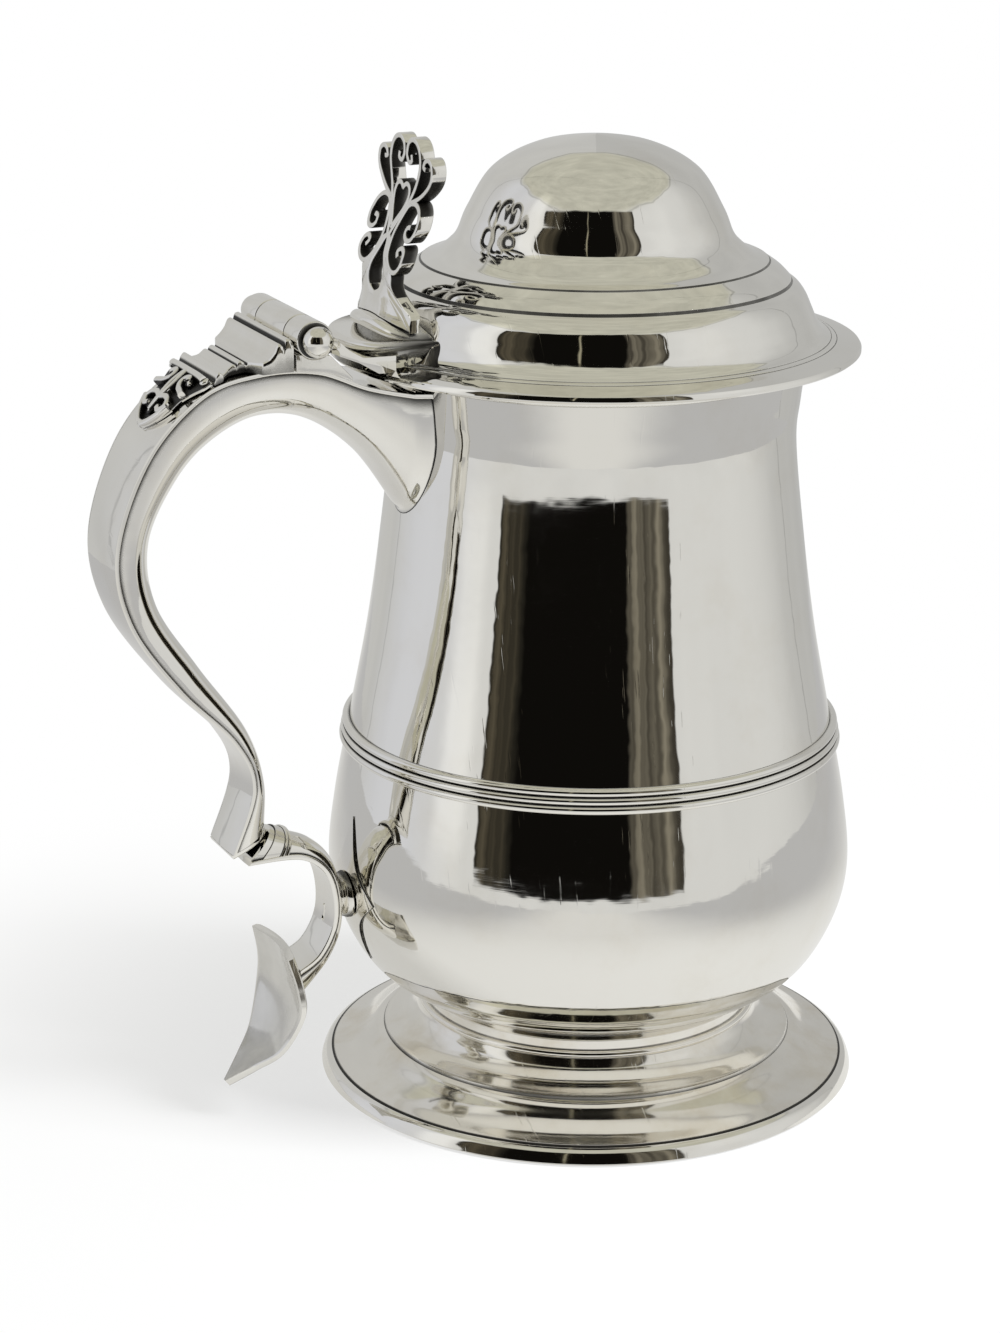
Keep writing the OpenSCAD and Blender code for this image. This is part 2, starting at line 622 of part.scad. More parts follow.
// Pendant: right half of its outline and of each raised scroll, as shares of its width and its length
leaf_edge = [[0, 0], [0.98, 0], [1, 0.13], [0.86, 0.27], [0.72, 0.43], [0.69, 0.6], [0.55, 0.76],
    [0.36, 0.88], [0.1, 0.99], [0, 1]];
leaf_root = [[0, 0.06], [0.5, 0.06], [0.9, 0.07]];
leaf_spine = [[0.02, 0.08], [0.07, 0.3], [0.03, 0.55], [0, 0.75]];
leaf_hook = [[0.74, 0.38], [0.58, 0.35], [0.42, 0.32], [0.29, 0.25], [0.3, 0.17], [0.42, 0.14], [0.5, 0.19]];
leaf_lobe = [[0.02, 0.54], [0.24, 0.5], [0.44, 0.53], [0.52, 0.62], [0.4, 0.7], [0.25, 0.67]];
leaf_rim = [[0.62, 0.6], [0.5, 0.74], [0.32, 0.86], [0.12, 0.94], [0, 0.95]];
module drop_pendant() {
    ground = 0.6;
    start_x = -hinge_x - knuckle_r - swing_gap - drop_len - seam;
    full = spline(strap_pts, 16);
    path = concat([[start_x, lookup(start_x, [for (p = full) if (p.y > bow_z) p])]],
        [for (p = full) if (p.x < start_x && p.x >= start_x - pendant_len && p.y > bow_z) p]);
    function place(q) = [along(path, max(0, min(q.y, 1)) * (len(path) - 1)).x, max(q.x, 0) * pendant_w];
    function lifted(h) = [for (i = [0:len(path) - 1])
        path[i] - h * mix(1, 0.6, i / len(path)) * side(path, i)];
    module ridge(pts) {
        p = spline([for (q = pts) place(q)], 3);
        half = pendant_band / 2 - fillet_r;
        polygon(concat(edge(p, half), rev(edge(p, -half))));
    }
    module relief(h) {
        intersection() {
            linear_extrude(2 * rim_z)
                children();
            slab(pendant_w)
                polygon(concat(lifted(seam), rev(lifted(h))));
        }
    }
    module half_scrolls() {
        for (s = [leaf_root, leaf_spine, leaf_hook, leaf_lobe, leaf_rim])
            ridge(s);
        for (q = [last(leaf_hook), last(leaf_lobe)])
            translate(place(q))
                circle(0.75 * pendant_band, $fn = 20);
    }
    color(worn)
        union() {
            relief(ground)
                polygon(both_y([for (q = spline(leaf_edge, 2)) place(q)]));
            relief(pendant_h)
                offset(delta = fillet_r)
                    union() {
                        half_scrolls();
                        mirror([0, 1])
                            half_scrolls();
                    }
        }
}

// Lid
module lid_shell() {
    ledge = bezel_seat_r + seam;
    color(silver)
        rotate_extrude()
            polygon(concat(lid_path, [[ledge, rim_z + lid_gap], [ledge, bezel_top_z + seam]],
                rev(lid_hollow)));
}
module lid_bezel() {
    r = lip_r - wall - bezel_gap;
    z = rim_z + lid_gap;
    color(worn)
        rotate_extrude()
            polygon([[r - bezel_t, z - bezel_h], [r - 0.3, z - bezel_h], [r, z - bezel_h + 0.6], [r, z],
                [bezel_seat_r, z], [bezel_seat_r, bezel_top_z], [r - bezel_t, bezel_top_z]]);
}
module lid_leaf() {
    shoulder_x = -hinge_x + knuckle_r + swing_gap;
    wide = hinge_half - 0.6;
    color(silver)
        difference() {
            intersection() {
                slab(wide)
                    polygon([[-hinge_x + 1, hinge_z - 2.6], [shoulder_x, hinge_z - 3.3],
                        [-hinge_x + 9.5, flange_z + 2.7], [-flange_r + 1, flange_z + 0.2],
                        [-flange_r + 8, flange_z],
                        [-flange_r + 8, flange_z + 3.5], [-tier_low_x, flange_z + 3.6],
                        [-hinge_x + 7.4, flange_z + 5.4], [shoulder_x, hinge_z + 0.2],
                        [-hinge_x + 1, hinge_z + 1]]);
                linear_extrude(2 * rim_z)
                    polygon([[-hinge_x, knuckle_mid / 2], [shoulder_x, knuckle_mid / 2],
                        [shoulder_x, wide - 1.4],
                        [shoulder_x + 1.2, wide], [-flange_r + 8, wide], [-flange_r + 8, -wide],
                        [shoulder_x + 1.2, -wide], [shoulder_x, 1.4 - wide], [shoulder_x, -knuckle_mid / 2],
                        [-hinge_x, -knuckle_mid / 2]]);
            }
            on_hinge()
                cylinder(r = knuckle_r, h = 4 * hinge_half, center = true);
            lid_solid();
            tier_room(tier_low_x, tier_low_r);
        }
}
module lid_knuckle() {
    color(silver)
        on_hinge()
            difference() {
                cylinder(r = knuckle_r, h = knuckle_mid, center = true);
                cylinder(r = pin_r + pin_clear, h = 2 * knuckle_mid, center = true);
            }
}
tier_low_z = flange_z + tier_low_h;
plinth_z = tier_low_z + tier_top_h;
module thumb_plinth() {
    color(silver)
        difference() {
            union() {
                tier(tier_low_x, tier_low_r, flange_z - 0.6, tier_low_z);
                intersection() {
                    tier(tier_top_x, tier_top_r, flange_z, plinth_z);
                    crown();
                }
            }
            lid_solid();
        }
}

// Thumbpiece: right half of each scroll, set out across and up its face
setting = [14, 35.1];
scroll_tall = [[0.3, 15.4], [2, 18.7], [4.1, 22], [6.4, 26.4], [7.5, 29.6], [7.1, 32.2], [5.4, 34.1],
    [3, 34.6], [1.1, 33.5], [0.7, 31.5], [1.8, 30], [3.2, 30.4], [3, 31.6]];
scroll_wing = [[4.6, 22.2], [8, 23.5], [10.8, 25.2], [12.9, 27.2], [13.5, 29.2], [12.9, 30.9], [11.4, 31.6],
    [9.9, 31.2], [9.2, 30], [10.4, 29.6]];
scroll_side = [[9.2, 18.2], [7.7, 17.9], [7.6, 16.6], [9.2, 15.7], [11, 16.2], [11.8, 18.2], [11, 20.6],
    [9.2, 22.1], [6.9, 22.5], [4.7, 21.6], [3, 18.4], [2.4, 15.2], [3.2, 12.2], [5.2, 10.1],
    [7.5, 9.2], [9.6, 9.8], [10.7, 11.5], [10.2, 13.4], [8.7, 14.1], [7.3, 13.4], [8.2, 12.3]];
heart_side = [[0, 24.7], [1.3, 25.6], [2.8, 25.3], [3.6, 23.8], [2.9, 21.3], [1.3, 18.9], [0, 17]];
stem_side = [[13.9, -3], [13.7, -0.8], [13, 0.9], [11.5, 2.2], [9.7, 3.5], [8.4, 5], [7.6, 6.6],
    [7.5, 8.8], [5.2, 9.9], [3.2, 12], [2.3, 14.8], [0.4, 16]];
tear_side = [[0, 4.4], [2.4, 5.4], [3.3, 7.6], [2.8, 9.6], [1.3, 12], [0.5, 14], [0, 14.8]];
face_side = [[0, -0.02], [0.09, 0.05], [0.15, 0.2], [0.29, 0.33], [0.52, 0.45], [0.9, 0.68],
    [1, 0.9], [1.02, 1.02]];
stem_front_r = 26.3;
function fitted(p) = [for (q = p) [q.x * thumb_w / setting.x, q.y * thumb_h / setting.y]];
function edge(p, d) = [for (i = [0:len(p) - 1]) p[i] + d * side(p, i)];
function both(p) = concat(p, [for (q = rev(p)) [-q.x, q.y]]);
function both_y(p) = concat(p, [for (q = rev(p)) [q.x, -q.y]]);
fillet_r = 0.12;
module band(pts) {
    p = spline(fitted(pts), 3);
    half = band_w / 2 - fillet_r;
    polygon(concat(edge(p, half), rev(edge(p, -half))));
}
module curl(p) {
    translate(fitted([p])[0])
        circle(0.9 * band_w - fillet_r, $fn = 20);
}
module thumb_half() {
    for (s = [scroll_tall, scroll_wing, scroll_side, heart_side])
        band(s);
    for (p = [last(scroll_tall), last(scroll_wing), last(scroll_side), scroll_side[0]])
        curl(p);
}
module thumb_front() {
    offset(delta = fillet_r)
        union() {
            thumb_half();
            mirror([1, 0])
                thumb_half();
            difference() {
                polygon(both(spline(fitted(stem_side), 3)));
                polygon(both(spline(fitted(tear_side), 3)));
            }
        }
}
module thumbpiece() {
    face = [for (p = spline([for (q = face_side) [q.x * thumb_lean, q.y * thumb_h]], 2)) if (p.y > 0) p];
    back = [for (p = face) p + [thumb_t, 0]];
    sunk = -4;
    color(silver)
        translate([0, 0, seam])
            difference() {
                translate([-thumb_x, 0, plinth_z])
                    intersection() {
                        rotate([90, 0, 90])
                            linear_extrude(4 * thumb_lean, center = true)
                                thumb_front();
                        slab(2 * thumb_w)
                            polygon(concat([[0, sunk], [0, 0]], face, rev(back),
                                [[thumb_t, 0], [thumb_t, sunk]]));
                        translate([stem_front_r - 0.3, 0, sunk])
                            cylinder(r = stem_front_r, h = 2 * thumb_h);
                    }
                crown();
            }
}

body_shell();
lip_wire();
girdle_band();
foot_neck();
foot_dome();
foot_wire();
handle_back_strap();
handle_upper_shell();
handle_end_plate();
handle_collar();
lower_scroll_strap();
lower_scroll_shell();
shield_terminal();
lower_socket();
lower_mount();
hinge_bracket();
fixed_knuckles();
hinge_pin();
hinge_beads();
hinge_drop();
drop_pendant();
lid_shell();
lid_bezel();
lid_leaf();
lid_knuckle();
thumb_plinth();
thumbpiece();
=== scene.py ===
import math

import bmesh
import bpy
import numpy as np
from mathutils import Matrix, Vector
from mathutils.bvhtree import BVHTree


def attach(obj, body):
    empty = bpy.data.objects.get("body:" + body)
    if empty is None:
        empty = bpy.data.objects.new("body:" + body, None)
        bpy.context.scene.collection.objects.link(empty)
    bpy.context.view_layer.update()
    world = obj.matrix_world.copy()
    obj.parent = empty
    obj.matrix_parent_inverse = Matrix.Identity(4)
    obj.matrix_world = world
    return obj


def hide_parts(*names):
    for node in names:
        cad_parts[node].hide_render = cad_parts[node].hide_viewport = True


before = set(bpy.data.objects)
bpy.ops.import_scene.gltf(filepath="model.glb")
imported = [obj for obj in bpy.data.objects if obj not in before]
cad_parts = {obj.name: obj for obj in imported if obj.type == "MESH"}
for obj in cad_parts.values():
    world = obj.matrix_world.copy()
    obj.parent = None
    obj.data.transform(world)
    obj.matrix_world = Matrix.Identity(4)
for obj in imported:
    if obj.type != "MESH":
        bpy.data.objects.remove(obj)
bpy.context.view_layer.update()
MM = 0.001

# Sizes in millimetres, as the solids have them
RIM_Z, LIP_R, WAIST_R, WAIST_DROP, BULB_R, BULB_Z = 159, 44.4, 42.5, 19, 56, 47.5
WALL, SEAT_R, SEAT_Z, BOTTOM_DIP = 1.0, 36.5, 20.2, 3.4
LIP_WIRE_H, LIP_WIRE_PROUD = 2.6, 1.5
GIRDLE_Z, GIRDLE_H, GIRDLE_PROUD, REEDS = 77.3, 5.1, 1.4, 3
FOOT_R, FOOT_WIRE_H, FOOT_WIRE_W, FOOT_WALL = 57.995, 3.3, 4.2, 1.4
FOOT_STEP_R, FOOT_STEP_Z, NECK_Z, NECK_BEAD = 44.3, 8.7, 14.4, 1.8
LID_GAP, FLANGE_R, FLANGE_T, LID_H, LID_WALL = 0.3, 55.3, 1.6, 42.3, 1.1
LOW_LINE_R, LOW_LINE_H, TOP_LINE_R, TOP_LINE_H, DOME_R = 40.5, 12.9, 35.9, 17.0, 28.5
BEZEL_GAP, BEZEL_H, BEZEL_T = 1.4, 5.2, 1.2
HINGE_X, HINGE_UP, KNUCKLE_R, KNUCKLE_MID, KNUCKLE_END, KNUCKLE_GAP = 68, 10, 3.8, 15.6, 7.6, 0.25
PIN_R, PIN_CLEAR, SWING_GAP, BEAD_R, BEAD_SUNK = 1.5, 0.05, 0.45, 3.1, 1.6
DROP_W, DROP_H, DROP_LEN = 15, 6.6, 14.9
PENDANT_W, PENDANT_LEN, PENDANT_H, PENDANT_BAND = 10, 11.6, 2.4, 1.3
HANDLE_X, BOW_DROP, STRAP_TOP_W, STRAP_END_W, STRAP_T = 108, 32, 11.4, 7, 1.3
SHELL_T, STRAP_LEDGE, SADDLE_W, SADDLE_H = 1.0, 0.4, 13.2, 27.6
LOW_JOINT_Z, LOW_W, SOCKET_LEN, MOUNT_T = 46.5, 5.4, 2.8, 0.8
SHIELD_W, SHIELD_T, SHIELD_LEN = 13, 1.7, 29.5
THUMB_H, THUMB_T, BAND_W, THUMB_X, THUMB_LEAN = 35.1, 3.1, 1.05, 50.2, 8
TIER_LOW_H, TIER_TOP_H, TIER_LOW_X, TIER_TOP_X, TIER_LOW_R, TIER_TOP_R = 5.4, 4, 57.6, 52.6, 17, 15.4
TIER_FRONT_R, TIER_NOSE, TIER_OVER, CROWN_R, STEM_FRONT_R = 36, 1.45, 2, 45, 26.3
SEAM = 0.05
LID_Z = RIM_Z + LID_GAP
FLANGE_Z = LID_Z + FLANGE_T
HINGE_Z = RIM_Z + HINGE_UP
HINGE_HALF = KNUCKLE_MID / 2 + KNUCKLE_GAP + KNUCKLE_END
PLINTH_Z = FLANGE_Z + TIER_LOW_H + TIER_TOP_H
# Metres within which points are welded, and degrees from which an edge stays sharp
WELD, FINE_WELD, SHARP, CAST_SHARP, LONG_SHARP = 2e-6, 1e-7, 38, 50, 60


# Curves
def mix(a, b, f):
    return a + (b - a) * f


def share(values):
    return np.clip(values, 0, 1)


def along(points, u):
    """Points of the smooth curve through points, at the span positions u."""
    p = np.asarray(points, float)
    u = np.atleast_1d(np.asarray(u, float))
    i = np.clip(u.astype(int), 0, len(p) - 2)
    f = u - i
    if p.ndim > 1:
        f = f[:, None]
    a, b, c, d = p[np.maximum(i - 1, 0)], p[i], p[i + 1], p[np.minimum(i + 2, len(p) - 1)]
    return 0.5 * (2 * b + (c - a) * f + (2 * a - 5 * b + 4 * c - d) * f ** 2
                  + (3 * b - a - 3 * c + d) * f ** 3)


def through(points, n):
    return along(points, np.linspace(0, len(points) - 1, (len(points) - 1) * n + 1))


def lengths(path):
    """Length of a path up to each of its points."""
    return np.append(0, np.cumsum(np.linalg.norm(np.diff(path, axis=0), axis=1)))


def left_of(path):
    """Unit normals on the left of a flat path."""
    step = np.gradient(np.asarray(path, float), axis=0)
    step /= np.maximum(np.linalg.norm(step, axis=1, keepdims=True), 1e-9)
    return np.stack([-step[:, 1], step[:, 0]], 1)


def inset(path, d):
    out = np.asarray(path, float) + d * left_of(path)
    out[:, 0] = np.maximum(out[:, 0], 0)
    return out


def arc(centre, r, a, b, n):
    t = np.radians(np.linspace(a, b, n + 1))
    return np.stack([centre[0] + r * np.cos(t), centre[1] + r * np.sin(t)], 1)


# Node trees
class Val:
    """A socket in a Python expression: each operator adds a Math node."""

    def __init__(self, net, socket):
        self.net, self.socket = net, socket

    def out(self, name):
        return Val(self.net, self.socket.node.outputs[name])

    def __add__(self, o):
        return self.net.maths("ADD", self, o)

    def __sub__(self, o):
        return self.net.maths("SUBTRACT", self, o)

    def __rsub__(self, o):
        return self.net.maths("SUBTRACT", o, self)

    def __mul__(self, o):
        return self.net.maths("MULTIPLY", self, o)

    def __truediv__(self, o):
        return self.net.maths("DIVIDE", self, o)

    __radd__, __rmul__ = __add__, __mul__


class Net:
    """A node tree that is filled from Python."""

    def __init__(self, tree):
        self.tree = tree

    def add(self, kind, sockets=None, out=0, **settings):
        """New node with values or links in its sockets; gives back one of its outputs."""
        node = self.tree.nodes.new(kind)
        for key, value in settings.items():
            setattr(node, key, value)
        for key, value in (sockets or {}).items():
            if isinstance(value, Val):
                self.tree.links.new(value.socket, node.inputs[key])
            else:
                node.inputs[key].default_value = value
        return Val(self, node.outputs[out]) if node.outputs else node

    def maths(self, operation, *values):
        return self.add("ShaderNodeMath", dict(enumerate(values)), operation=operation)

    def ease(self, value, low, high):
        """Nought below low, one above high, smooth between."""
        return self.add("ShaderNodeMapRange", {"Value": value, "From Min": low, "From Max": high},
                        interpolation_type="SMOOTHSTEP")

    def tint(self, f, a, b):
        return self.add("ShaderNodeMix", {0: f, 6: a, 7: b}, 2, data_type="RGBA")

    def noise(self, where, scale, detail=2.0, rough=0.5):
        return self.add("ShaderNodeTexNoise",
                        {"Vector": where, "Scale": scale, "Detail": detail, "Roughness": rough})


# Finishes
CLEAN, TONED, BLACK = (0.915, 0.905, 0.868, 1), (0.74, 0.68, 0.565, 1), (0.01, 0.009, 0.0075, 1)


def silver(name, wave, rough, warm, marks):
    """Polished silver: slow hammered waves, fine rubbing marks, warm toning, and black where each point's
    stored darkness says, which is patina in the recesses and painted shade on some pieces.

    wave is the height of the hammered waves in millimetres, rough the roughness of the bright face,
    warm the share of toning, marks the share of rubbing marks and scratches. Noise is scaled per metre."""
    material = bpy.data.materials.new(name)
    material.use_nodes = True
    net = Net(material.node_tree)
    shader = material.node_tree.nodes["Principled BSDF"]
    where = net.add("ShaderNodeTexCoord", out="Object")
    darkness = net.add("ShaderNodeAttribute", out="Fac", attribute_name="patina_and_shade")
    swell = net.noise(where, 34.0, 1.0)
    ripple = net.noise(where, 110.0, 1.5)
    planish = net.noise(where, 240.0, 1.0)
    smudge = net.noise(where, 62.0, 4.0, 0.62)
    lengthways = net.add("ShaderNodeMapping", {"Vector": where, "Scale": (60.0, 60.0, 2400.0)})
    crossways = net.add("ShaderNodeMapping", {"Vector": where, "Rotation": (0.6, 0.3, 0.8),
                                              "Scale": (1900.0, 70.0, 90.0)})
    rubbed = net.noise(lengthways, 1.0, 3.0, 0.6)
    scratch = net.ease(net.noise(crossways, 1.0, 2.0, 0.5), 0.66, 0.74)
    height = (swell * (2.2 * wave) + ripple * wave * 0.6 + planish * wave * 0.3
              + rubbed * 0.0016 * marks - scratch * 0.005 * marks)
    bump = net.add("ShaderNodeBump", {"Strength": 1.0, "Distance": MM, "Height": height})
    tone = (0.3 + net.ease(smudge, 0.46, 0.78) * 0.7) * warm
    black = net.ease(darkness + (smudge - 0.5) * 0.35 * net.ease(darkness, 0.02, 0.4), 0.08, 0.8)
    colour = net.tint(black, net.tint(tone, CLEAN, TONED), BLACK)
    dull = rough + net.ease(smudge, 0.4, 0.85) * 0.045 + scratch * 0.05 * marks + black * 0.38
    for label, value in (("Base Color", colour), ("Metallic", 1 - black * 0.75), ("Roughness", dull),
                         ("Normal", bump)):
        net.tree.links.new(value.socket, shader.inputs[label])
    return material


RAISED = silver("raised silver", 0.08, 0.022, 0.25, 1.0)
WIRE = silver("drawn silver wire", 0.008, 0.05, 0.3, 0.7)
CAST = silver("cast silver", 0.012, 0.07, 0.35, 0.8)
# The foot's silver: rougher and more marked by wear, and its strong warm toning also darkens the foot as a
# painted shade.
WORN_AND_SHADED = silver("worn and shaded silver", 0.05, 0.085, 0.8, 1.5)


# Meshes
def linked(name, data):
    """New object in the scene."""
    obj = bpy.data.objects.new(name, data)
    bpy.context.scene.collection.objects.link(obj)
    return obj


def points_of(obj, what="co"):
    """Places of a mesh's points, or their normals."""
    values = np.empty(len(obj.data.vertices) * 3)
    obj.data.vertices.foreach_get(what, values)
    return values.reshape(-1, 3)


def moved(obj, change):
    """Moves every point of a mesh by a rule on points in millimetres."""
    obj.data.vertices.foreach_set("co", (change(points_of(obj) / MM) * MM).ravel())
    obj.data.update()


def store_darkness(mesh, values=None):
    """Stores the blackened share of each point, nought without values."""
    held = mesh.attributes.get("patina_and_shade") or mesh.attributes.new("patina_and_shade", "FLOAT", "POINT")
    if values is not None:
        held.data.foreach_set("value", np.asarray(values, np.float32).ravel())


def piece(name, verts, faces, darkness=None):
    """New object from points in millimetres, with the blackened share of each point."""
    mesh = bpy.data.meshes.new(name)
    mesh.from_pydata((np.asarray(verts, float) * MM).tolist(), [], faces)
    store_darkness(mesh, darkness)
    return linked(name, mesh)


def outwards(obj, weld=WELD, sharp=SHARP):
    """Welds doubles, points the faces outwards and shades smooth with sharp edges kept."""
    bm = bmesh.new()
    bm.from_mesh(obj.data)
    bmesh.ops.remove_doubles(bm, verts=bm.verts, dist=weld)
    bmesh.ops.dissolve_degenerate(bm, edges=bm.edges, dist=FINE_WELD)
    bmesh.ops.recalc_face_normals(bm, faces=bm.faces)
    bm.to_mesh(obj.data)
    bm.free()
    obj.data.shade_smooth()
    obj.data.set_sharp_from_angle(angle=math.radians(sharp))
    return obj


def settled(obj):
    """The object with what its modifiers make as its own plain mesh."""
    bpy.context.view_layer.update()
    graph = bpy.context.evaluated_depsgraph_get()
    made = bpy.data.meshes.new_from_object(obj.evaluated_get(graph), preserve_all_data_layers=True,
                                           depsgraph=graph)
    obj.modifiers.clear()
    obj.data = made
    return obj


def dress(obj, body, material, node):
    """Gives a piece its material and body, and puts it in the place of a CAD node."""
    obj.data.materials.clear()
    obj.data.materials.append(material)
    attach(obj, body)
    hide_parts(node)


def cut(obj, tool):
    """Takes the tool's solid out of the object."""
    modifier = obj.modifiers.new("cut", "BOOLEAN")
    modifier.operation, modifier.solver, modifier.object = "DIFFERENCE", "EXACT", tool
    settled(obj)
    bpy.data.objects.remove(tool)
    return obj


def ring_faces(m, k):
    """Faces between m closed rings of k points."""
    return [(i * k + j, i * k + (j + 1) % k, (i + 1) * k + (j + 1) % k, (i + 1) * k + j)
            for i in range(m - 1) for j in range(k)]


def loft(name, rings, darkness=None, sharp=SHARP):
    """Solid through closed rings of equal count, closed at both ends."""
    rings = np.asarray(rings, float)
    m, k = rings.shape[:2]
    faces = ring_faces(m, k) + [tuple(range(k)), tuple(range((m - 1) * k, m * k))]
    return outwards(piece(name, rings.reshape(-1, 3), faces, darkness), sharp=sharp)


# Geometry Nodes
def group(name, **inputs):
    """New tree from geometry to geometry, with further inputs by name and kind."""
    tree = bpy.data.node_groups.new(name, "GeometryNodeTree")
    tree.interface.new_socket("Geometry", in_out="OUTPUT", socket_type="NodeSocketGeometry")
    for label, kind in {"Geometry": "Geometry", **inputs}.items():
        tree.interface.new_socket(label, in_out="INPUT", socket_type="NodeSocket" + kind)
    net = Net(tree)
    return net, net.add("NodeGroupInput")


def finish_group(net, mesh, given):
    real = net.add("GeometryNodeRealizeInstances", {"Geometry": mesh})
    coated = net.add("GeometryNodeSetMaterial", {"Geometry": real, "Material": given.out("Material")})
    net.add("NodeGroupOutput", {0: coated})
    return net.tree


def run_group(obj, tree, **values):
    modifier = obj.modifiers.new(tree.name, "NODES")
    modifier.node_group = tree
    for item in tree.interface.items_tree:
        if item.in_out == "INPUT" and item.name in values:
            modifier[item.identifier] = values[item.name]
    return settled(obj)


def turning_tree():
    """Turns a profile of points, radius along X and height along Z, round the Z axis."""
    net, given = group("turned wall", Segments="Int", Material="Material")
    profile = given.out("Geometry")
    count = net.add("GeometryNodeAttributeDomainSize", {"Geometry": profile}, "Point Count", component="MESH")
    around = given.out("Segments") + 1
    grid = net.add("GeometryNodeMeshGrid", {"Vertices X": count, "Vertices Y": around}, "Mesh")
    index = net.add("GeometryNodeInputIndex")
    row = net.maths("FLOOR", (index + 0.5) / around)
    angle = (index - row * around) * math.tau / given.out("Segments")
    where = net.add("GeometryNodeInputPosition")
    black = net.add("GeometryNodeInputNamedAttribute", {"Name": "patina_and_shade"})
    spot = net.add("GeometryNodeSampleIndex", {"Geometry": profile, "Index": row, "Value": where},
                   data_type="FLOAT_VECTOR")
    darkness = net.add("GeometryNodeSampleIndex", {"Geometry": profile, "Index": row, "Value": black})
    part = net.add("ShaderNodeSeparateXYZ", {"Vector": spot})
    radius = part.out("X")
    place = net.add("ShaderNodeCombineXYZ", {"X": radius * net.maths("COSINE", angle),
                                             "Y": radius * net.maths("SINE", angle), "Z": part.out("Z")})
    held = net.add("GeometryNodeStoreNamedAttribute", {"Geometry": grid, "Name": "patina_and_shade", "Value": darkness})
    wall = net.add("GeometryNodeSetPosition", {"Geometry": held, "Position": place})
    whole = net.add("GeometryNodeMergeByDistance", {"Geometry": wall, "Distance": WELD})
    return finish_group(net, whole, given)


def band_tree():
    """Sweeps a rounded bar along flat lines, with a pressed knob at the end of each."""
    net, given = group("scroll bands", Width="Float", Depth="Float", Round="Float", Curl="Float",
                       Material="Material")
    width, depth = given.out("Width"), given.out("Depth")
    line = net.add("GeometryNodeMeshToCurve", {"Mesh": given.out("Geometry")})
    flat = net.add("GeometryNodeSetCurveNormal", {"Curve": line}, mode="Z_UP")
    bar = net.add("GeometryNodeCurvePrimitiveQuadrilateral", {"Width": width, "Height": depth})
    rounded = net.add("GeometryNodeFilletCurve", mode="POLY", sockets={
        "Curve": bar, "Radius": given.out("Round"), "Count": 4})
    swept = net.add("GeometryNodeCurveToMesh", {"Curve": flat, "Profile Curve": rounded, "Fill Caps": True})
    ends = net.add("GeometryNodeCurveEndpointSelection", {"Start Size": 0, "End Size": 1})
    knob = net.add("GeometryNodeMeshUVSphere", out="Mesh", sockets={
        "Segments": 20, "Rings": 12, "Radius": given.out("Curl")})
    pressed = net.add("GeometryNodeTransform", {"Geometry": knob, "Scale": (1.0, 1.0, 0.6)})
    knobs = net.add("GeometryNodeInstanceOnPoints", {"Points": line, "Selection": ends, "Instance": pressed})
    both = net.tree.nodes.new("GeometryNodeJoinGeometry")
    for part in (knobs, swept):
        net.tree.links.new(part.socket, both.inputs[0])
    return finish_group(net, Val(net, both.outputs[0]), given)


TURNED = turning_tree()
BANDS = band_tree()


def turned(name, profile, material, darkness=None, closed=False, segments=224, turn=None):
    """Piece turned from a profile of [radius, height] points."""
    p = np.asarray(profile, float)
    s = np.zeros(len(p)) if darkness is None else np.asarray(darkness, float)
    if closed:
        p, s = np.vstack([p, p[:1]]), np.append(s, s[0])
    obj = piece(name, np.stack([p[:, 0], 0 * p[:, 0], p[:, 1]], 1), [], s)
    run_group(obj, TURNED, Segments=segments, Material=material)
    outwards(obj)
    if turn is not None:
        obj.data.transform(turn)
    return obj


def bands(name, lines, width, depth, rounding, curl):
    """Flat bars along lines of [across, up] points and their mirrors, with a knob at each line's end."""
    verts, edges = [], []
    for line in lines + [p * [-1, 1] for p in lines]:
        edges += [(len(verts) + i, len(verts) + i + 1) for i in range(len(line) - 1)]
        verts += [(x, y, 0) for x, y in line]
    obj = piece(name, verts, [])
    obj.data.edges.add(len(edges))
    obj.data.edges.foreach_set("vertices", np.array(edges).ravel())
    return run_group(obj, BANDS, Width=width * MM, Depth=depth * MM, Round=rounding * MM, Curl=curl * MM,
                     Material=CAST)


# Vessel
WAIST_Z = RIM_Z - WAIST_DROP


def span(a, b):
    """Rule for points between two others: the share of the way up, then the share across."""
    return lambda f, g: [mix(a[0], b[0], g), mix(a[1], b[1], f)]


belly = span((SEAT_R, SEAT_Z), (BULB_R, BULB_Z))
flank = span((BULB_R, BULB_Z), (WAIST_R, WAIST_Z))
flare = span((WAIST_R, WAIST_Z), (LIP_R, RIM_Z))
BODY = through([
    [0, SEAT_Z - BOTTOM_DIP], [0.55 * SEAT_R, SEAT_Z - 0.85 * BOTTOM_DIP], [SEAT_R, SEAT_Z],
    belly(0.21, 0.53), belly(0.58, 0.86), [BULB_R, BULB_Z], flank(0.157, 0.1), flank(0.351, 0.35),
    flank(0.568, 0.635), flank(0.784, 0.845), [WAIST_R, WAIST_Z], flare(0.5, 0.35), [LIP_R, RIM_Z]], 11)


def body_at(z):
    return np.interp(z, BODY[:, 1], BODY[:, 0])


def make_body():
    wall = np.vstack([BODY, inset(BODY, WALL)[::-1]])
    dress(turned("body", wall, RAISED, segments=288), "vessel", RAISED, "body_shell")


def make_lip_wire():
    z = np.linspace(RIM_Z - LIP_WIRE_H, RIM_Z, 8)
    a = np.radians(np.linspace(90, -90, 17))
    face = np.stack([LIP_R + 0.4 + (LIP_WIRE_PROUD - 0.4) * np.cos(a),
                     RIM_Z - LIP_WIRE_H / 2 * (1 - np.sin(a))], 1)
    ring = np.vstack([np.stack([body_at(z) + SEAM, z], 1), face])
    darkness = np.append(np.zeros(8), np.interp(face[:, 1], [z[0], z[0] + 0.35], [0.7, 0]))
    dress(turned("lip-wire", ring, WIRE, darkness, True), "vessel", WIRE, "lip_wire")


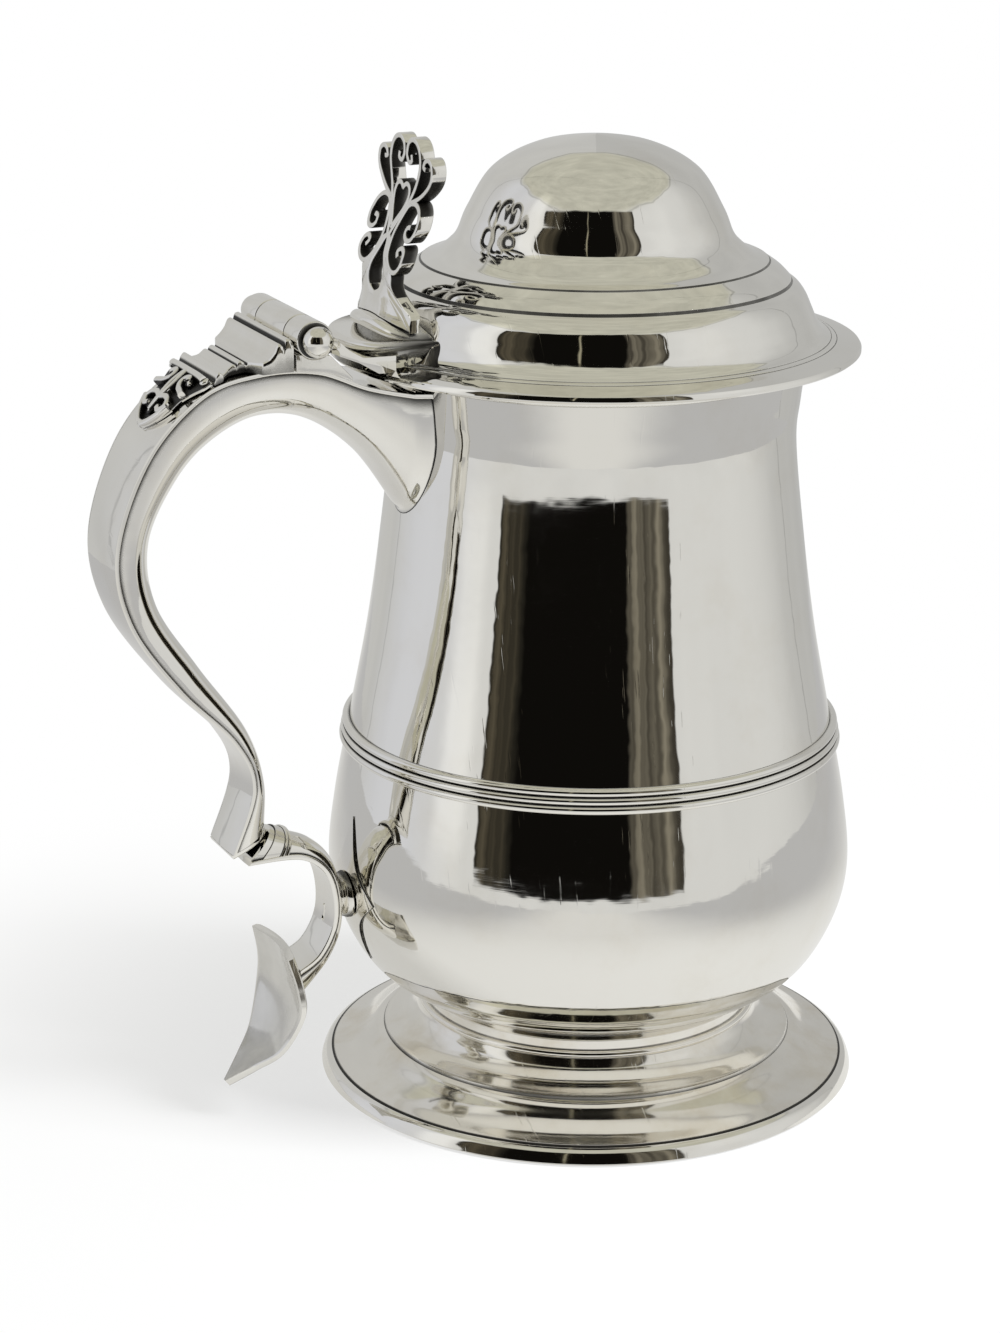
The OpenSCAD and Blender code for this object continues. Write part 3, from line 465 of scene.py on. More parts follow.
def make_girdle():
    reed = GIRDLE_H / REEDS
    low = GIRDLE_Z - GIRDLE_H / 2
    back_z = np.linspace(low + GIRDLE_H, low, 6)
    face = np.vstack([arc((body_at(z) + GIRDLE_PROUD - reed / 2, z), reed / 2, -84, 84, 14)
                      for z in low + reed * (np.arange(REEDS) + 0.5)])
    depth = np.abs((face[:, 1] - low) / reed % 1 - 0.5) * 2
    ring = np.vstack([np.stack([body_at(back_z) + SEAM, back_z], 1), face])
    groove = np.abs(face[:, 1] - GIRDLE_Z) < GIRDLE_H / 2 - reed * 0.3
    darkness = np.append(np.full(6, 0.6), share((depth - 0.8) / 0.16) * groove)
    dress(turned("girdle", ring, WIRE, darkness, True, 256), "vessel", WIRE, "girdle_band")


def make_foot():
    bore, waist = SEAT_R - FOOT_WALL - 0.4, SEAT_R - 0.9
    r = np.linspace(bore, SEAT_R - 0.3, 5)
    bulb = BODY[BODY[:, 1] <= BULB_Z]
    top = np.stack([r, np.interp(r, *bulb.T) - SEAM], 1)
    bead_z = NECK_Z + NECK_BEAD
    side = through([top[-1] - [0.3, 0.8], [waist, mix(bead_z, SEAT_Z, 0.5)], [waist, bead_z]], 8)
    neck = np.vstack([[[bore, NECK_Z]], top, side,
                      arc((SEAT_R - 0.7, NECK_Z + NECK_BEAD / 2), NECK_BEAD / 2, 80, -90, 14)])
    darkness = np.interp(neck[:, 1] - NECK_Z, [0.1, 0.4, 1.7, 1.9, 2.2, 4.8, 5.4], [0.8, 0, 0, 0.6, 0, 0, 0.6])
    dress(turned("foot-neck", neck, WORN_AND_SHADED, darkness, True), "vessel", WORN_AND_SHADED, "foot_neck")
    hem = FOOT_R - FOOT_WIRE_W + FOOT_WALL + 0.4
    step = np.array([FOOT_STEP_R, FOOT_STEP_Z])
    cove = [[SEAT_R - 0.5, NECK_Z], [SEAT_R + 0.5, NECK_Z - 2], [SEAT_R + 3, NECK_Z - 4]]
    ogee = [step, step + [1.8, -0.8], step + [4.4, -2.6], step + [7.6, -4.1], [hem, FOOT_WIRE_H + 0.25],
            [hem, FOOT_WIRE_H]]
    under = inset(through(cove + [step + [-0.6, 0.2], ogee[2], ogee[-1]], 10), -FOOT_WALL)
    under = under[(under[:, 1] > FOOT_WIRE_H) & (under[:, 1] < NECK_Z)]
    face = np.vstack([through(cove + [step + [-1.6, 0.7], step + [-0.3, 0.6]], 10), through(ogee, 10)])
    dome = np.vstack([face, [[hem - FOOT_WALL - 0.4, FOOT_WIRE_H]], under[::-1],
                      [[SEAT_R - FOOT_WALL - 0.5, NECK_Z]]])
    near = np.abs(face[:, 0] - FOOT_STEP_R + 0.1)
    darkness = np.zeros(len(dome))
    darkness[:len(face)] = np.maximum(share(1.15 - near / 0.22), share(1.2 - (hem - face[:, 0]) / 0.3))
    dress(turned("foot-dome", dome, WORN_AND_SHADED, darkness, True, 256), "vessel", WORN_AND_SHADED, "foot_dome")
    edge = 0.5
    face = through([[FOOT_R, edge], [FOOT_R - 0.4, 0.5 * FOOT_WIRE_H], [FOOT_R - 1, 0.82 * FOOT_WIRE_H],
                    [FOOT_R - 1.9, FOOT_WIRE_H]], 8)
    inside = FOOT_R - FOOT_WIRE_W
    wire = np.vstack([[[inside, 0], [FOOT_R - edge, 0]], face, [[inside, FOOT_WIRE_H]]])
    darkness = share(1 - (wire[:, 0] - (FOOT_R - 2.6)) / 0.5) * (wire[:, 1] > 3)
    dress(turned("foot-wire", wire, WIRE, darkness, True, 256), "vessel", WIRE, "foot_wire")


# Handle
BOW_Z = RIM_Z - BOW_DROP
CROWN_Z = RIM_Z + 3.7
LOW_END_Z = LOW_JOINT_Z + 14.6
SADDLE_Z = RIM_Z - 3.4
SCROLL_X = float(body_at(LOW_JOINT_Z)) + MOUNT_T + SOCKET_LEN


# Places as shares of the way from the lip to the bow, from the bow to the crown, and to the lower end
def out(f):
    return -mix(LIP_R, HANDLE_X, f)


def rise(f):
    return mix(BOW_Z, CROWN_Z, f)


def fall(f):
    return mix(BOW_Z, LOW_END_Z, f)


def on_scroll(points):
    """Points given outwards and up from the lower scroll's joint."""
    return [-SCROLL_X, LOW_JOINT_Z] + np.array(points) * [-1, 1]


STRAP = [[-float(body_at(SADDLE_Z)), SADDLE_Z], [-FLANGE_R, RIM_Z - 0.8], [-HINGE_X + 2, CROWN_Z - 0.4],
         [-HINGE_X - 10, CROWN_Z - 0.1], [out(0.715), rise(0.9)], [out(0.894), rise(0.57)],
         [-HANDLE_X, BOW_Z + 2], [out(0.961), fall(0.21)], [out(0.8), fall(0.445)],
         [-SCROLL_X - 24.04, fall(0.635)], [-SCROLL_X - 20.1, fall(0.79)], [-SCROLL_X - 24.55, LOW_END_Z]]
BELLY = [[-float(body_at(SADDLE_Z - SADDLE_H)), SADDLE_Z - SADDLE_H], [out(0.135), SADDLE_Z - 14.1],
         [out(0.317), CROWN_Z - 12.7], [out(0.489), CROWN_Z - 11], [out(0.638), rise(0.582)],
         [out(0.756), rise(0.38)], [out(0.852), BOW_Z + 1.4], [out(0.83), fall(0.185)],
         [out(0.695), fall(0.397)], [-SCROLL_X - 19.21, fall(0.615)], [-SCROLL_X - 15.77, fall(0.79)],
         [-SCROLL_X - 15.39, LOW_END_Z + 3.8]]
WIDTHS = [SADDLE_W, mix(SADDLE_W, STRAP_TOP_W, 0.55), STRAP_TOP_W, STRAP_TOP_W - 0.6, STRAP_TOP_W - 0.9]
WIDTHS += [mix(STRAP_TOP_W, STRAP_END_W, f) for f in (0.36, 0.56, 0.75, 0.88, 1, 1, 1)]
LOW_STRAP = on_scroll([[22.5, 11.2], [12, 11.3], [7, 10.1], [3.4, 6.7], [1.9, 1], [2.3, -5], [5.3, -10.5],
                       [9.6, -13.2]])
LOW_BELLY = on_scroll([[14.9, 18.1], [10.2, 15.9], [5, 13.6], [0.9, 9.2], [-1, 1.6], [-0.9, -6.3],
                       [2, -13.3], [9, -21.5]])
LOW_WIDTHS = [LOW_W] * 6 + [LOW_W + 0.1, LOW_W + 0.5]


def stations(outs, ins, u):
    """Points of the strap's outside, unit directions to the shell's belly, and depths under the strap."""
    o, i = along(outs, u), along(ins, u)
    d = np.linalg.norm(i - o, axis=1)[:, None]
    return o, (i - o) / d, d - STRAP_T - SEAM


def placed(o, way, y, depth):
    """Rings from across and depth values, one row for each station."""
    return np.stack([o[:, None, 0] + way[:, None, 0] * depth, y, o[:, None, 1] + way[:, None, 1] * depth], 2)


def seat_on_body(rings, u):
    """The first stretch is bent to lie on the body."""
    x, y, z = rings[..., 0], rings[..., 1], rings[..., 2]
    on = -np.sqrt(np.maximum((body_at(z) + SEAM) ** 2 - y ** 2, 0))
    f = share(np.asarray(u) / 0.22)[:, None]
    rings[..., 0] = mix(on, x, f * f * (3 - 2 * f))
    return rings


def strap_rings(outs, ins, widths, u, crown):
    """Flat strap with rounded edges and a slightly crowned outside."""
    o, way, _ = stations(outs, ins, u)
    w = along(widths, u)[:, None]
    r = 0.42
    corner = np.vstack([arc((-r, r), r, -90, 0, 6), arc((-r, STRAP_T - r), r, 0, 90, 6)])
    flat = np.linspace(-1, 1, 15)[None, :]
    edge = np.maximum(corner[None, :, 1], crown) + 0 * w
    y = np.hstack([flat * (w - r), w + corner[None, :, 0], -flat * (w - r), -w - corner[None, ::-1, 0]])
    d = np.hstack([0.015 + crown * flat ** 2 + 0 * w, edge, STRAP_T + 0 * (flat * w), edge[:, ::-1]])
    return placed(o, way, y, d)


def d_section(n=30):
    """Shares of the half width across a shell, and shares of its depth there."""
    a = np.radians(np.linspace(180, 0, n + 1))[None, :]
    return np.cos(a), np.maximum(np.sin(a), 0) ** 0.85


def sleeve(o, way, w, d, outside, inside, n=30):
    """Hollow D-section under a strap, this far outside and inside a half width and a depth."""
    side, bow = d_section(n)
    y = np.hstack([(w + outside) * side, (w + inside) * side[:, ::-1]])
    e = STRAP_T + SEAM + np.hstack([(d + outside) * bow, (d + inside) * bow[:, ::-1]])
    return placed(o, way, y, e)


def shell_rings(outs, ins, widths, u, n=30):
    """Hollow D-section that stands in a ledge from the strap's edges."""
    o, way, depth = stations(outs, ins, u)
    w = (along(widths, u) - STRAP_LEDGE)[:, None]
    return sleeve(o, way, w, depth, 0, -SHELL_T, n)


def edge_stain(rings, black, reach):
    """Black along the long edges of a swept piece, where it meets its neighbour."""
    half = np.abs(rings[..., 1]) / np.abs(rings[..., 1]).max(1, keepdims=True)
    return black * share((half - (1 - reach)) / reach)


def vent_slot():
    """Cutter for the long hole in the lower strap."""
    outline = np.vstack([arc((0, 1.3), 0.55, 0, 180, 16), arc((0, -1.3), 0.55, 180, 360, 16)])
    rings = [[(-SCROLL_X - 2.2 + dx, y, LOW_JOINT_Z - 3.4 + z) for y, z in outline] for dx in (-2.0, 2.0)]
    return loft("cutter", rings)


def make_handle():
    u = np.linspace(0, len(STRAP) - 1, 230)
    strap = seat_on_body(strap_rings(STRAP, BELLY, WIDTHS, u, 0.3), u)
    dress(loft("handle-strap", strap, sharp=LONG_SHARP), "vessel", RAISED, "handle_back_strap")
    shell = seat_on_body(shell_rings(STRAP, BELLY, WIDTHS, u), u)
    darkness = edge_stain(shell, 0.7, 0.004)
    darkness[0] = 1
    dress(loft("handle-shell", shell, darkness, LONG_SHARP), "vessel", RAISED, "handle_upper_shell")
    o, way, depth = stations(STRAP, BELLY, [len(STRAP) - 1])
    w = STRAP_END_W - STRAP_LEDGE
    side, bow = d_section()
    d = np.hstack([[[0.0]], STRAP_T + SEAM + depth * bow, [[0.0]]])
    face = placed(o, way, np.hstack([[[-w]], w * side, [[w]]]), d)[0]
    down = np.array([way[0, 1], 0, -way[0, 0]])
    plate = [mix(face, face.mean(0), f) + down * h
             for f, h in ((0, SEAM), (0, 0.7), (0.02, 0.9), (0.06, 1.0))]
    dress(loft("handle-end-plate", plate, sharp=LONG_SHARP), "vessel", RAISED, "handle_end_plate")
    u = np.linspace(0.25, len(LOW_STRAP) - 1, 110)
    low_strap = strap_rings(LOW_STRAP, LOW_BELLY, LOW_WIDTHS, u, 0.12)
    slotted = cut(loft("lower-scroll-strap", low_strap, sharp=LONG_SHARP), vent_slot())
    dress(slotted, "vessel", RAISED, "lower_scroll_strap")
    low_shell = shell_rings(LOW_STRAP, LOW_BELLY, LOW_WIDTHS, u, 24)
    darkness = edge_stain(low_shell, 0.9, 0.006)
    dress(loft("lower-scroll-shell", low_shell, darkness, LONG_SHARP), "vessel", RAISED, "lower_scroll_shell")


def make_collar():
    """Plain sleeve with two fine beads at its lower end."""
    f = np.linspace(0, 1, 61)
    o, way, depth = stations(LOW_STRAP, LOW_BELLY, mix(0.45, 1, f))
    bead = np.where(f < 0.6, 0, np.abs(np.sin(np.radians(900 * (f - 0.6)))))
    swell = (0.35 + 0.4 * bead - 0.2 * (np.abs(f - 0.5) > 0.49))[:, None]
    rings = sleeve(o, way, LOW_W - STRAP_LEDGE + 0 * swell, depth, swell, SEAM)
    black = share(1 - bead / 0.4) * (f > 0.58) + (f < 0.01)
    darkness = np.repeat(black[:, None], rings.shape[1], 1)
    dress(loft("handle-collar", rings, darkness), "vessel", WIRE, "handle_collar")


def make_shield():
    """Dished shield with a bent middle line, widest above its middle."""
    spine = on_scroll([[13.1, -8.3], [11.3, -15], [11.2, -21.2], [14.8, -29.6], [19.6, -33.8],
                       [24.8, -8.3 - SHIELD_LEN]])
    spread = np.array([0.84, 0.95, 1, 0.72, 0.38, 0.03]) * SHIELD_W
    u = np.linspace(0, len(spine) - 1, 70)
    c = along(spine, u)
    w = along(spread, u)[:, None]
    f = np.linspace(-1, 1, 25)[None, :]
    dish = -1.6 * f ** 2 * w / SHIELD_W
    edge = 0.35 * share((np.abs(f) - 0.9) / 0.1) ** 2
    rings = placed(c, left_of(c), np.hstack([f * w, (f * w)[:, ::-1]]),
                   np.hstack([dish + edge, (dish + SHIELD_T - edge)[:, ::-1]]))
    # Painted shade: the whole face is darkened, and more so below a crease across the lower part that exists
    # only in paint, while the rim stays clean as a painted highlight.
    below = share((u[:, None] - 2.85 - 0.3 * np.abs(f)) / 0.1)
    tone = (0.25 + 0.13 * below) * (np.abs(f) < 0.93)
    darkness = np.hstack([tone, tone])
    dress(loft("shield-terminal", rings, darkness, CAST_SHARP), "vessel", CAST, "shield_terminal")


# Hinge and drop
# Lays a piece made round the Z axis along the hinge
AXLE = Matrix.Translation((-HINGE_X * MM, 0, HINGE_Z * MM)) @ Matrix.Rotation(math.pi / 2, 4, "X")


def tube(bore, r, start, length):
    """Profile of a knuckle, and painted shade in black on its end faces."""
    ease = 0.3
    ring = np.vstack([[[bore, start]], arc((r - ease, start + ease), ease, -90, 0, 5),
                      arc((r - ease, start + length - ease), ease, 0, 90, 5), [[bore, start + length]]])
    end = np.minimum(ring[:, 1] - start, start + length - ring[:, 1])
    return ring, share(1 - end / 0.12) * share((r - 0.1 - ring[:, 0]) / 0.3)


def joined(name, parts):
    """One object with a new name from several."""
    bm = bmesh.new()
    for p in parts:
        bm.from_mesh(p.data)
    bm.to_mesh(parts[0].data)
    bm.free()
    for p in parts[1:]:
        bpy.data.objects.remove(p)
    parts[0].name = name
    return parts[0]


def make_hinge():
    tubes = []
    for start in (-HINGE_HALF, HINGE_HALF - KNUCKLE_END):
        ring, darkness = tube(PIN_R, KNUCKLE_R, start, KNUCKLE_END)
        tubes.append(turned("tube", ring, CAST, darkness, True, 96, AXLE))
    dress(joined("fixed-knuckles", tubes), "vessel", CAST, "fixed_knuckles")
    ring, darkness = tube(PIN_R + PIN_CLEAR, KNUCKLE_R, -KNUCKLE_MID / 2, KNUCKLE_MID)
    dress(turned("lid-knuckle", ring, CAST, darkness, True, 96, AXLE), "lid", CAST, "lid_knuckle")
    lowest = -math.degrees(math.asin(BEAD_SUNK / BEAD_R))
    ball = np.vstack([[[0, 0]], arc((0, BEAD_SUNK), BEAD_R, lowest, 90, 30)])
    darkness = share(0.9 - ball[:, 1] / 0.7)
    beads = [turned("bead", ball * [1, s] + [0, s * HINGE_HALF], CAST, darkness, False, 72, AXLE)
             for s in (1, -1)]
    dress(joined("hinge-beads", beads), "vessel", CAST, "hinge_beads")


STRAP_LINE = through(STRAP, 24)
DROP_X = -HINGE_X - KNUCKLE_R - SWING_GAP
# Share of the drop's length, height above the strap, and blackening
REED_KNOTS = [
    [0, DROP_H - 1, 0], [0.03, DROP_H - 0.2, 0], [0.065, DROP_H, 0], [0.1, DROP_H - 0.3, 0],
    [0.122, DROP_H - 1.4, 1], [0.145, DROP_H - 1.15, 0], [0.18, DROP_H - 0.95, 0], [0.215, DROP_H - 1.4, 0],
    [0.25, DROP_H - 2.5, 0], [0.31, DROP_H - 3.5, 0], [0.38, 2.5, 0], [0.45, 2.15, 0], [0.5, 2.05, 0],
    [0.52, 1.6, 1], [0.545, 2.05, 0], [0.585, 2.35, 0], [0.62, 2.1, 0], [0.638, 1.5, 0.8], [0.655, 1.8, 0],
    [0.69, 1.95, 0], [0.73, 1.65, 0], [0.79, 1.15, 0], [0.85, 1, 0], [0.868, 0.8, 0.6], [0.885, 1.5, 0],
    [0.93, 2.1, 0], [0.97, 1.7, 0], [0.99, 1, 0.6], [1, 0.7, 1]]


def make_drop():
    """Reeds across the strap, in three groups that step down and in."""
    f, height, black = along(REED_KNOTS, np.linspace(0, len(REED_KNOTS) - 1, 240)).T
    black = share(black * 1.8)
    x = mix(DROP_X, DROP_X - DROP_LEN, f)
    wide = DROP_W * np.interp(f, [0, 0.3, 0.4, 0.48, 0.54, 0.76, 0.84, 0.88, 1],
                              [1, 0.97, 0.92, 0.68, 0.58, 0.56, 0.63, 0.71, 0.71])
    base = np.interp(x, *STRAP_LINE[STRAP_LINE[:, 1] > BOW_Z][::-1].T) + SEAM
    side = np.array([0, 0.35, 0.62, 0.82, 0.93, 0.98, 1.0])
    fore = np.array([0, 0, 0, 0, 0.012, 0.03, 0.06])
    ys = np.concatenate([1 - fore, np.linspace(0.9, -0.9, 13), -(1 - fore[::-1])])
    hs = np.concatenate([side, np.ones(13), side[::-1]])
    rings = np.stack([np.repeat(x[:, None], len(ys), 1), np.outer(wide, ys),
                      base[:, None] + np.outer(height, hs)], 2)
    # The side walls are darkened low down, and more so towards the pendant: partly patina, and partly painted
    # shade on the sides.
    dark = np.interp(f, [0, 0.3, 0.44, 0.5, 0.84, 0.9], [0.42, 0.47, 0.6, 1, 1, 0.7])
    darkness = np.maximum(np.outer(dark, share(1.25 - 1.3 * hs)), np.outer(black, hs > 0.9))
    dress(loft("hinge-drop", rings, darkness, CAST_SHARP), "vessel", CAST, "hinge_drop")


def on_strap(verts, start_x):
    """Lays flat work, [across, along, above] in millimetres, on the strap from start_x outwards."""
    line = STRAP_LINE[(STRAP_LINE[:, 0] <= start_x + 0.5) & (STRAP_LINE[:, 1] > BOW_Z - 20)]
    line = line[:len(line) - np.argmax(line[::-1, 1] > BOW_Z)]
    length = lengths(line)
    s = np.interp(-start_x, -line[:, 0], length) + verts[:, 1]
    px, pz, nx, nz = (np.interp(s, length, values) for values in np.hstack([line, -left_of(line)]).T)
    return np.stack([px + nx * verts[:, 2], verts[:, 0], pz + nz * verts[:, 2]], 1)


UPWARDS = Vector((0, 1, 0))
OVERHANG = 4.5
# Metres off the wall at which a line of sight starts
CLEAR, FAR_CLEAR = 0.00004, 0.0003


def blacken(obj, front, depth, reach, back=None):
    """Blackens the walls that face another wall within reach, from depth below the front downwards: patina in
    the hollows, and painted shade where the walls hide each other.

    Without a back the flat ground goes black too. With one the black thins towards it, and walls under an
    overhang go black as a painted shade."""
    mesh = obj.data
    tree = BVHTree.FromPolygons([v.co for v in mesh.vertices], [p.vertices for p in mesh.polygons])
    darkness = []
    for v in mesh.vertices:
        way = v.normal.copy()
        steep = abs(way.z)
        way.z = 0
        below = (front * MM - v.co.z) / (depth * MM)
        value = 0.0
        if below > 0.2 and way.length > 0.25:
            way.normalize()
            hidden = tree.ray_cast(v.co + way * CLEAR, way, reach * MM)[0] is not None
            if back and not hidden:
                hidden = tree.ray_cast(v.co + way * FAR_CLEAR, UPWARDS, OVERHANG * MM)[0] is not None
            value = min(below, 1.0) if hidden else 0.0
            if back:
                value *= 1 - 0.5 * max(0, (front * MM - v.co.z) / (back * MM)) ** 4
        elif below > 2.2 and steep > 0.5 and not back:
            value = 1.0
        darkness.append(value)
    store_darkness(mesh, darkness)


LEAF_EDGE = [[0.98, 0], [1, 0.13], [0.86, 0.27], [0.72, 0.43], [0.69, 0.6], [0.55, 0.76], [0.36, 0.88],
             [0.1, 0.99], [0.02, 1]]
LEAF_ROOT = [[0, 0.06], [0.5, 0.06], [0.9, 0.07]]
LEAF_SPINE = [[0.02, 0.08], [0.07, 0.3], [0.03, 0.55], [0, 0.75]]
LEAF_HOOK = [[0.74, 0.38], [0.58, 0.35], [0.42, 0.32], [0.29, 0.25], [0.3, 0.17], [0.42, 0.14], [0.5, 0.19]]
LEAF_LOBE = [[0.02, 0.54], [0.24, 0.5], [0.44, 0.53], [0.52, 0.62], [0.4, 0.7], [0.25, 0.67]]
LEAF_RIM = [[0.62, 0.6], [0.5, 0.74], [0.32, 0.86], [0.12, 0.94], [0, 0.95]]


def make_pendant():
    """Leaf of raised scrolls on a blackened ground."""
    start = DROP_X - DROP_LEN - SEAM
    x, z = STRAP_LINE.T
    long = lengths(STRAP_LINE[(x <= start) & (x >= start - PENDANT_LEN) & (z > BOW_Z)])[-1] + 0.3
    size = np.array([PENDANT_W, long])
    edge = through(LEAF_EDGE, 6) * size
    ring_f = np.array([-1, -1, -0.94, 0, 0.94, 1, 1])
    ring_h = np.array([0, 0.4, 0.55, 0.6, 0.55, 0.4, 0]) + SEAM
    rings = np.stack([edge[:, :1] * ring_f, np.repeat(np.clip(edge[:, 1:], 0, long), 7, 1),
                      np.repeat(ring_h[None], len(edge), 0)], 2)
    ground = loft("leaf-ground", rings)
    lines = [through(p, 10) * size for p in (LEAF_ROOT, LEAF_SPINE, LEAF_HOOK, LEAF_LOBE, LEAF_RIM)]
    sunk_in = 0.2
    tall = PENDANT_H - sunk_in
    scrolls = bands("leaf-scrolls", lines, PENDANT_BAND, tall, 0.5, 0.75 * PENDANT_BAND)
    moved(scrolls, lambda v: v + [0, 0, sunk_in + tall / 2])
    leaf = joined("drop-pendant", [outwards(scrolls, FINE_WELD), ground])
    blacken(leaf, PENDANT_H, 0.5, 6)

    def laid(v):
        """Lower towards the tip, and on the strap."""
        return on_strap(np.column_stack([v[:, :2], v[:, 2] * mix(1, 0.6, v[:, 1] / long)]), start)

    moved(leaf, laid)
    dress(leaf, "vessel", CAST, "drop_pendant")


# Lid
def above_flange(points):
    return np.array(points) + [0, FLANGE_Z]


# Shares of the way out from the lower line to the flange's edge, and of the lower line's height
COVE = [[0.122, 0.903], [0.216, 0.756], [0.297, 0.55], [0.378, 0.341], [0.48, 0.178], [0.655, 0.085],
        [0.845, 0.031], [0.953, 0]]
ENGRAVED_R = LOW_LINE_R + 8.6, LOW_LINE_R + 9.7


def make_lid():
    dome = through(above_flange([
        [0, LID_H], [0.42 * DOME_R, LID_H - 1.9], [0.745 * DOME_R, LID_H - 6.9],
        [0.925 * DOME_R, mix(TOP_LINE_H, LID_H, 0.41)], [DOME_R, mix(TOP_LINE_H, LID_H, 0.21)],
        [mix(DOME_R, TOP_LINE_R, 0.26), TOP_LINE_H + 3], [mix(DOME_R, TOP_LINE_R, 0.62), TOP_LINE_H + 1],
        [TOP_LINE_R, TOP_LINE_H]]), 12)
    notch = 0.3
    step = through(above_flange([
        [TOP_LINE_R + notch, TOP_LINE_H - notch],
        [mix(TOP_LINE_R, LOW_LINE_R, 0.62), mix(TOP_LINE_H, LOW_LINE_H, 0.5)],
        [LOW_LINE_R, LOW_LINE_H + notch]]), 10)
    cove = through(above_flange([[LOW_LINE_R + notch, LOW_LINE_H - notch]] + [
        [mix(LOW_LINE_R, FLANGE_R, f), g * LOW_LINE_H] for f, g in COVE]), 12)
    groove = sum(np.exp(-((cove[:, 0] - r) / 0.13) ** 2) for r in ENGRAVED_R)
    cove[:, 1] -= 0.12 * groove
    rim = above_flange([[FLANGE_R - 0.3, -0.12], [FLANGE_R, -0.6], [FLANGE_R, -FLANGE_T + 0.4],
                        [FLANGE_R - 0.5, -FLANGE_T]])
    face = np.vstack([dome, step, cove, rim])
    seat = mix(LOW_LINE_R, FLANGE_R, 0.62)
    ledge = seat + SEAM
    top = LID_Z + 0.8 * FLANGE_T
    hollow = inset(np.vstack([dome, cove]), -LID_WALL)
    hollow = hollow[(hollow[:, 1] > top) & (hollow[:, 0] < ledge - 0.45)]
    profile = np.vstack([face, [[ledge, LID_Z], [ledge, top + SEAM]], hollow[::-1]])
    darkness = np.zeros(len(profile))
    n, m = len(dome), len(dome) + len(step)
    darkness[[n - 1, n, m - 1, m]] = 0.7
    darkness[m:m + len(cove)] = np.maximum(darkness[m:m + len(cove)], share(groove * 1.1) * 0.85)
    dress(turned("lid", profile, RAISED, darkness, segments=256), "lid", RAISED, "lid_shell")
    r, low = LIP_R - WALL - BEZEL_GAP, LID_Z - BEZEL_H
    bezel = [[r - BEZEL_T, low + 0.2], [r - BEZEL_T + 0.2, low], [r - 0.3, low], [r - 0.08, low + 0.25],
             [r, low + 0.6], [r, LID_Z - 0.2], [r + 0.2, LID_Z], [seat, LID_Z], [seat, top],
             [r - BEZEL_T, top]]
    dress(turned("lid-bezel", bezel, RAISED, None, True), "lid", RAISED, "lid_bezel")
    make_plinth(face)


def sunk(y):
    """How far the plinth's crown lies below its middle, at a distance from the middle."""
    return CROWN_R - np.sqrt(CROWN_R ** 2 - np.asarray(y, float) ** 2)


# Power by which the plan's round front runs into its round sides
BLEND = 14.0


def make_plinth(lid_face):
    """Two nosed tiers, the upper one sinking to both sides, that follow the slope of the lid."""
    tiers = []
    for reach, r, base, top, fall in ((TIER_LOW_X, TIER_LOW_R, FLANGE_Z - 0.6, FLANGE_Z + TIER_LOW_H, 0),
                                      (TIER_TOP_X, TIER_TOP_R, FLANGE_Z + TIER_LOW_H - 3, PLINTH_Z, 1)):
        turn = np.radians(np.linspace(-118, 118, 97))
        side_x = r - reach - TIER_OVER
        way = np.stack([-np.cos(turn), np.sin(turn)], 1)
        middle = np.array([side_x, 0])
        off = side_x - (TIER_FRONT_R - reach)
        lean = way[:, 0] * off
        front = -lean + np.sqrt(lean ** 2 + TIER_FRONT_R ** 2 - off ** 2)
        plan = middle + way * ((front ** -BLEND + r ** -BLEND) ** (-1 / BLEND))[:, None]
        inwards = left_of(plan)
        nose = np.vstack([[[TIER_NOSE, base], [TIER_NOSE, top - 2 * TIER_NOSE - 0.02]],
                          arc((TIER_NOSE, top - TIER_NOSE), TIER_NOSE, 265, 90, 18)])
        rings, darkness = [], []
        # The black here is painted shade: on the wall under each nose, on the upper tier's top under the
        # thumbpiece, and towards the narrowing ends.
        for d, z, f, black in [(d, z, 1, 0.45 * (z < top - 2 * TIER_NOSE + 0.25)) for d, z in nose] + [
                (TIER_NOSE, top, 0.8, 0.5), (TIER_NOSE, top, 0.6, 0.9), (TIER_NOSE, top, 0.25, 1)]:
            spot = mix(middle, plan - inwards * d, f)
            y = np.abs(spot[:, 1])
            close = share((y - 5) / (r - 5)) ** 2 * (z > base + 0.1)
            high = mix(z - fall * sunk(y), FLANGE_Z + 6.4, 0.72 * close)
            rings.append(np.column_stack([spot, high]))
            darkness.append(np.maximum(black * fall if f < 1 else black, close * 0.75))
        tier = loft("tier", rings, np.concatenate(darkness))
        below = turned("cutter", np.vstack([lid_face, [[0, LID_Z]]]), CAST, None, False, 192)
        tiers.append(cut(tier, below))
    dress(joined("thumb-plinth", tiers), "lid", CAST, "thumb_plinth")


# Thumbpiece
# Curves of the right half, [across, up]
SCROLL_TALL = [[0.3, 15.4], [2, 18.7], [4.1, 22], [6.4, 26.4], [7.5, 29.6], [7.1, 32.2], [5.4, 34.1],
               [3, 34.6], [1.1, 33.5], [0.7, 31.5], [1.8, 30], [3.2, 30.4], [3, 31.6]]
SCROLL_WING = [[4.6, 22.2], [8, 23.5], [10.8, 25.2], [12.9, 27.2], [13.5, 29.2], [12.9, 30.9],
               [11.4, 31.6], [9.9, 31.2], [9.2, 30], [10.4, 29.6]]
SCROLL_SIDE = [[9.2, 18.2], [7.7, 17.9], [7.6, 16.6], [9.2, 15.7], [11, 16.2], [11.8, 18.2], [11, 20.6],
               [9.2, 22.1], [6.9, 22.5], [4.7, 21.6], [3, 18.4], [2.4, 15.2], [3.2, 12.2], [5.2, 10.1],
               [7.5, 9.2], [9.6, 9.8], [10.7, 11.5], [10.2, 13.4], [8.7, 14.1], [7.3, 13.4], [8.2, 12.3]]
HEART = [[0, 24.7], [1.3, 25.6], [2.8, 25.3], [3.6, 23.8], [2.9, 21.3], [1.3, 18.9], [0, 17]]
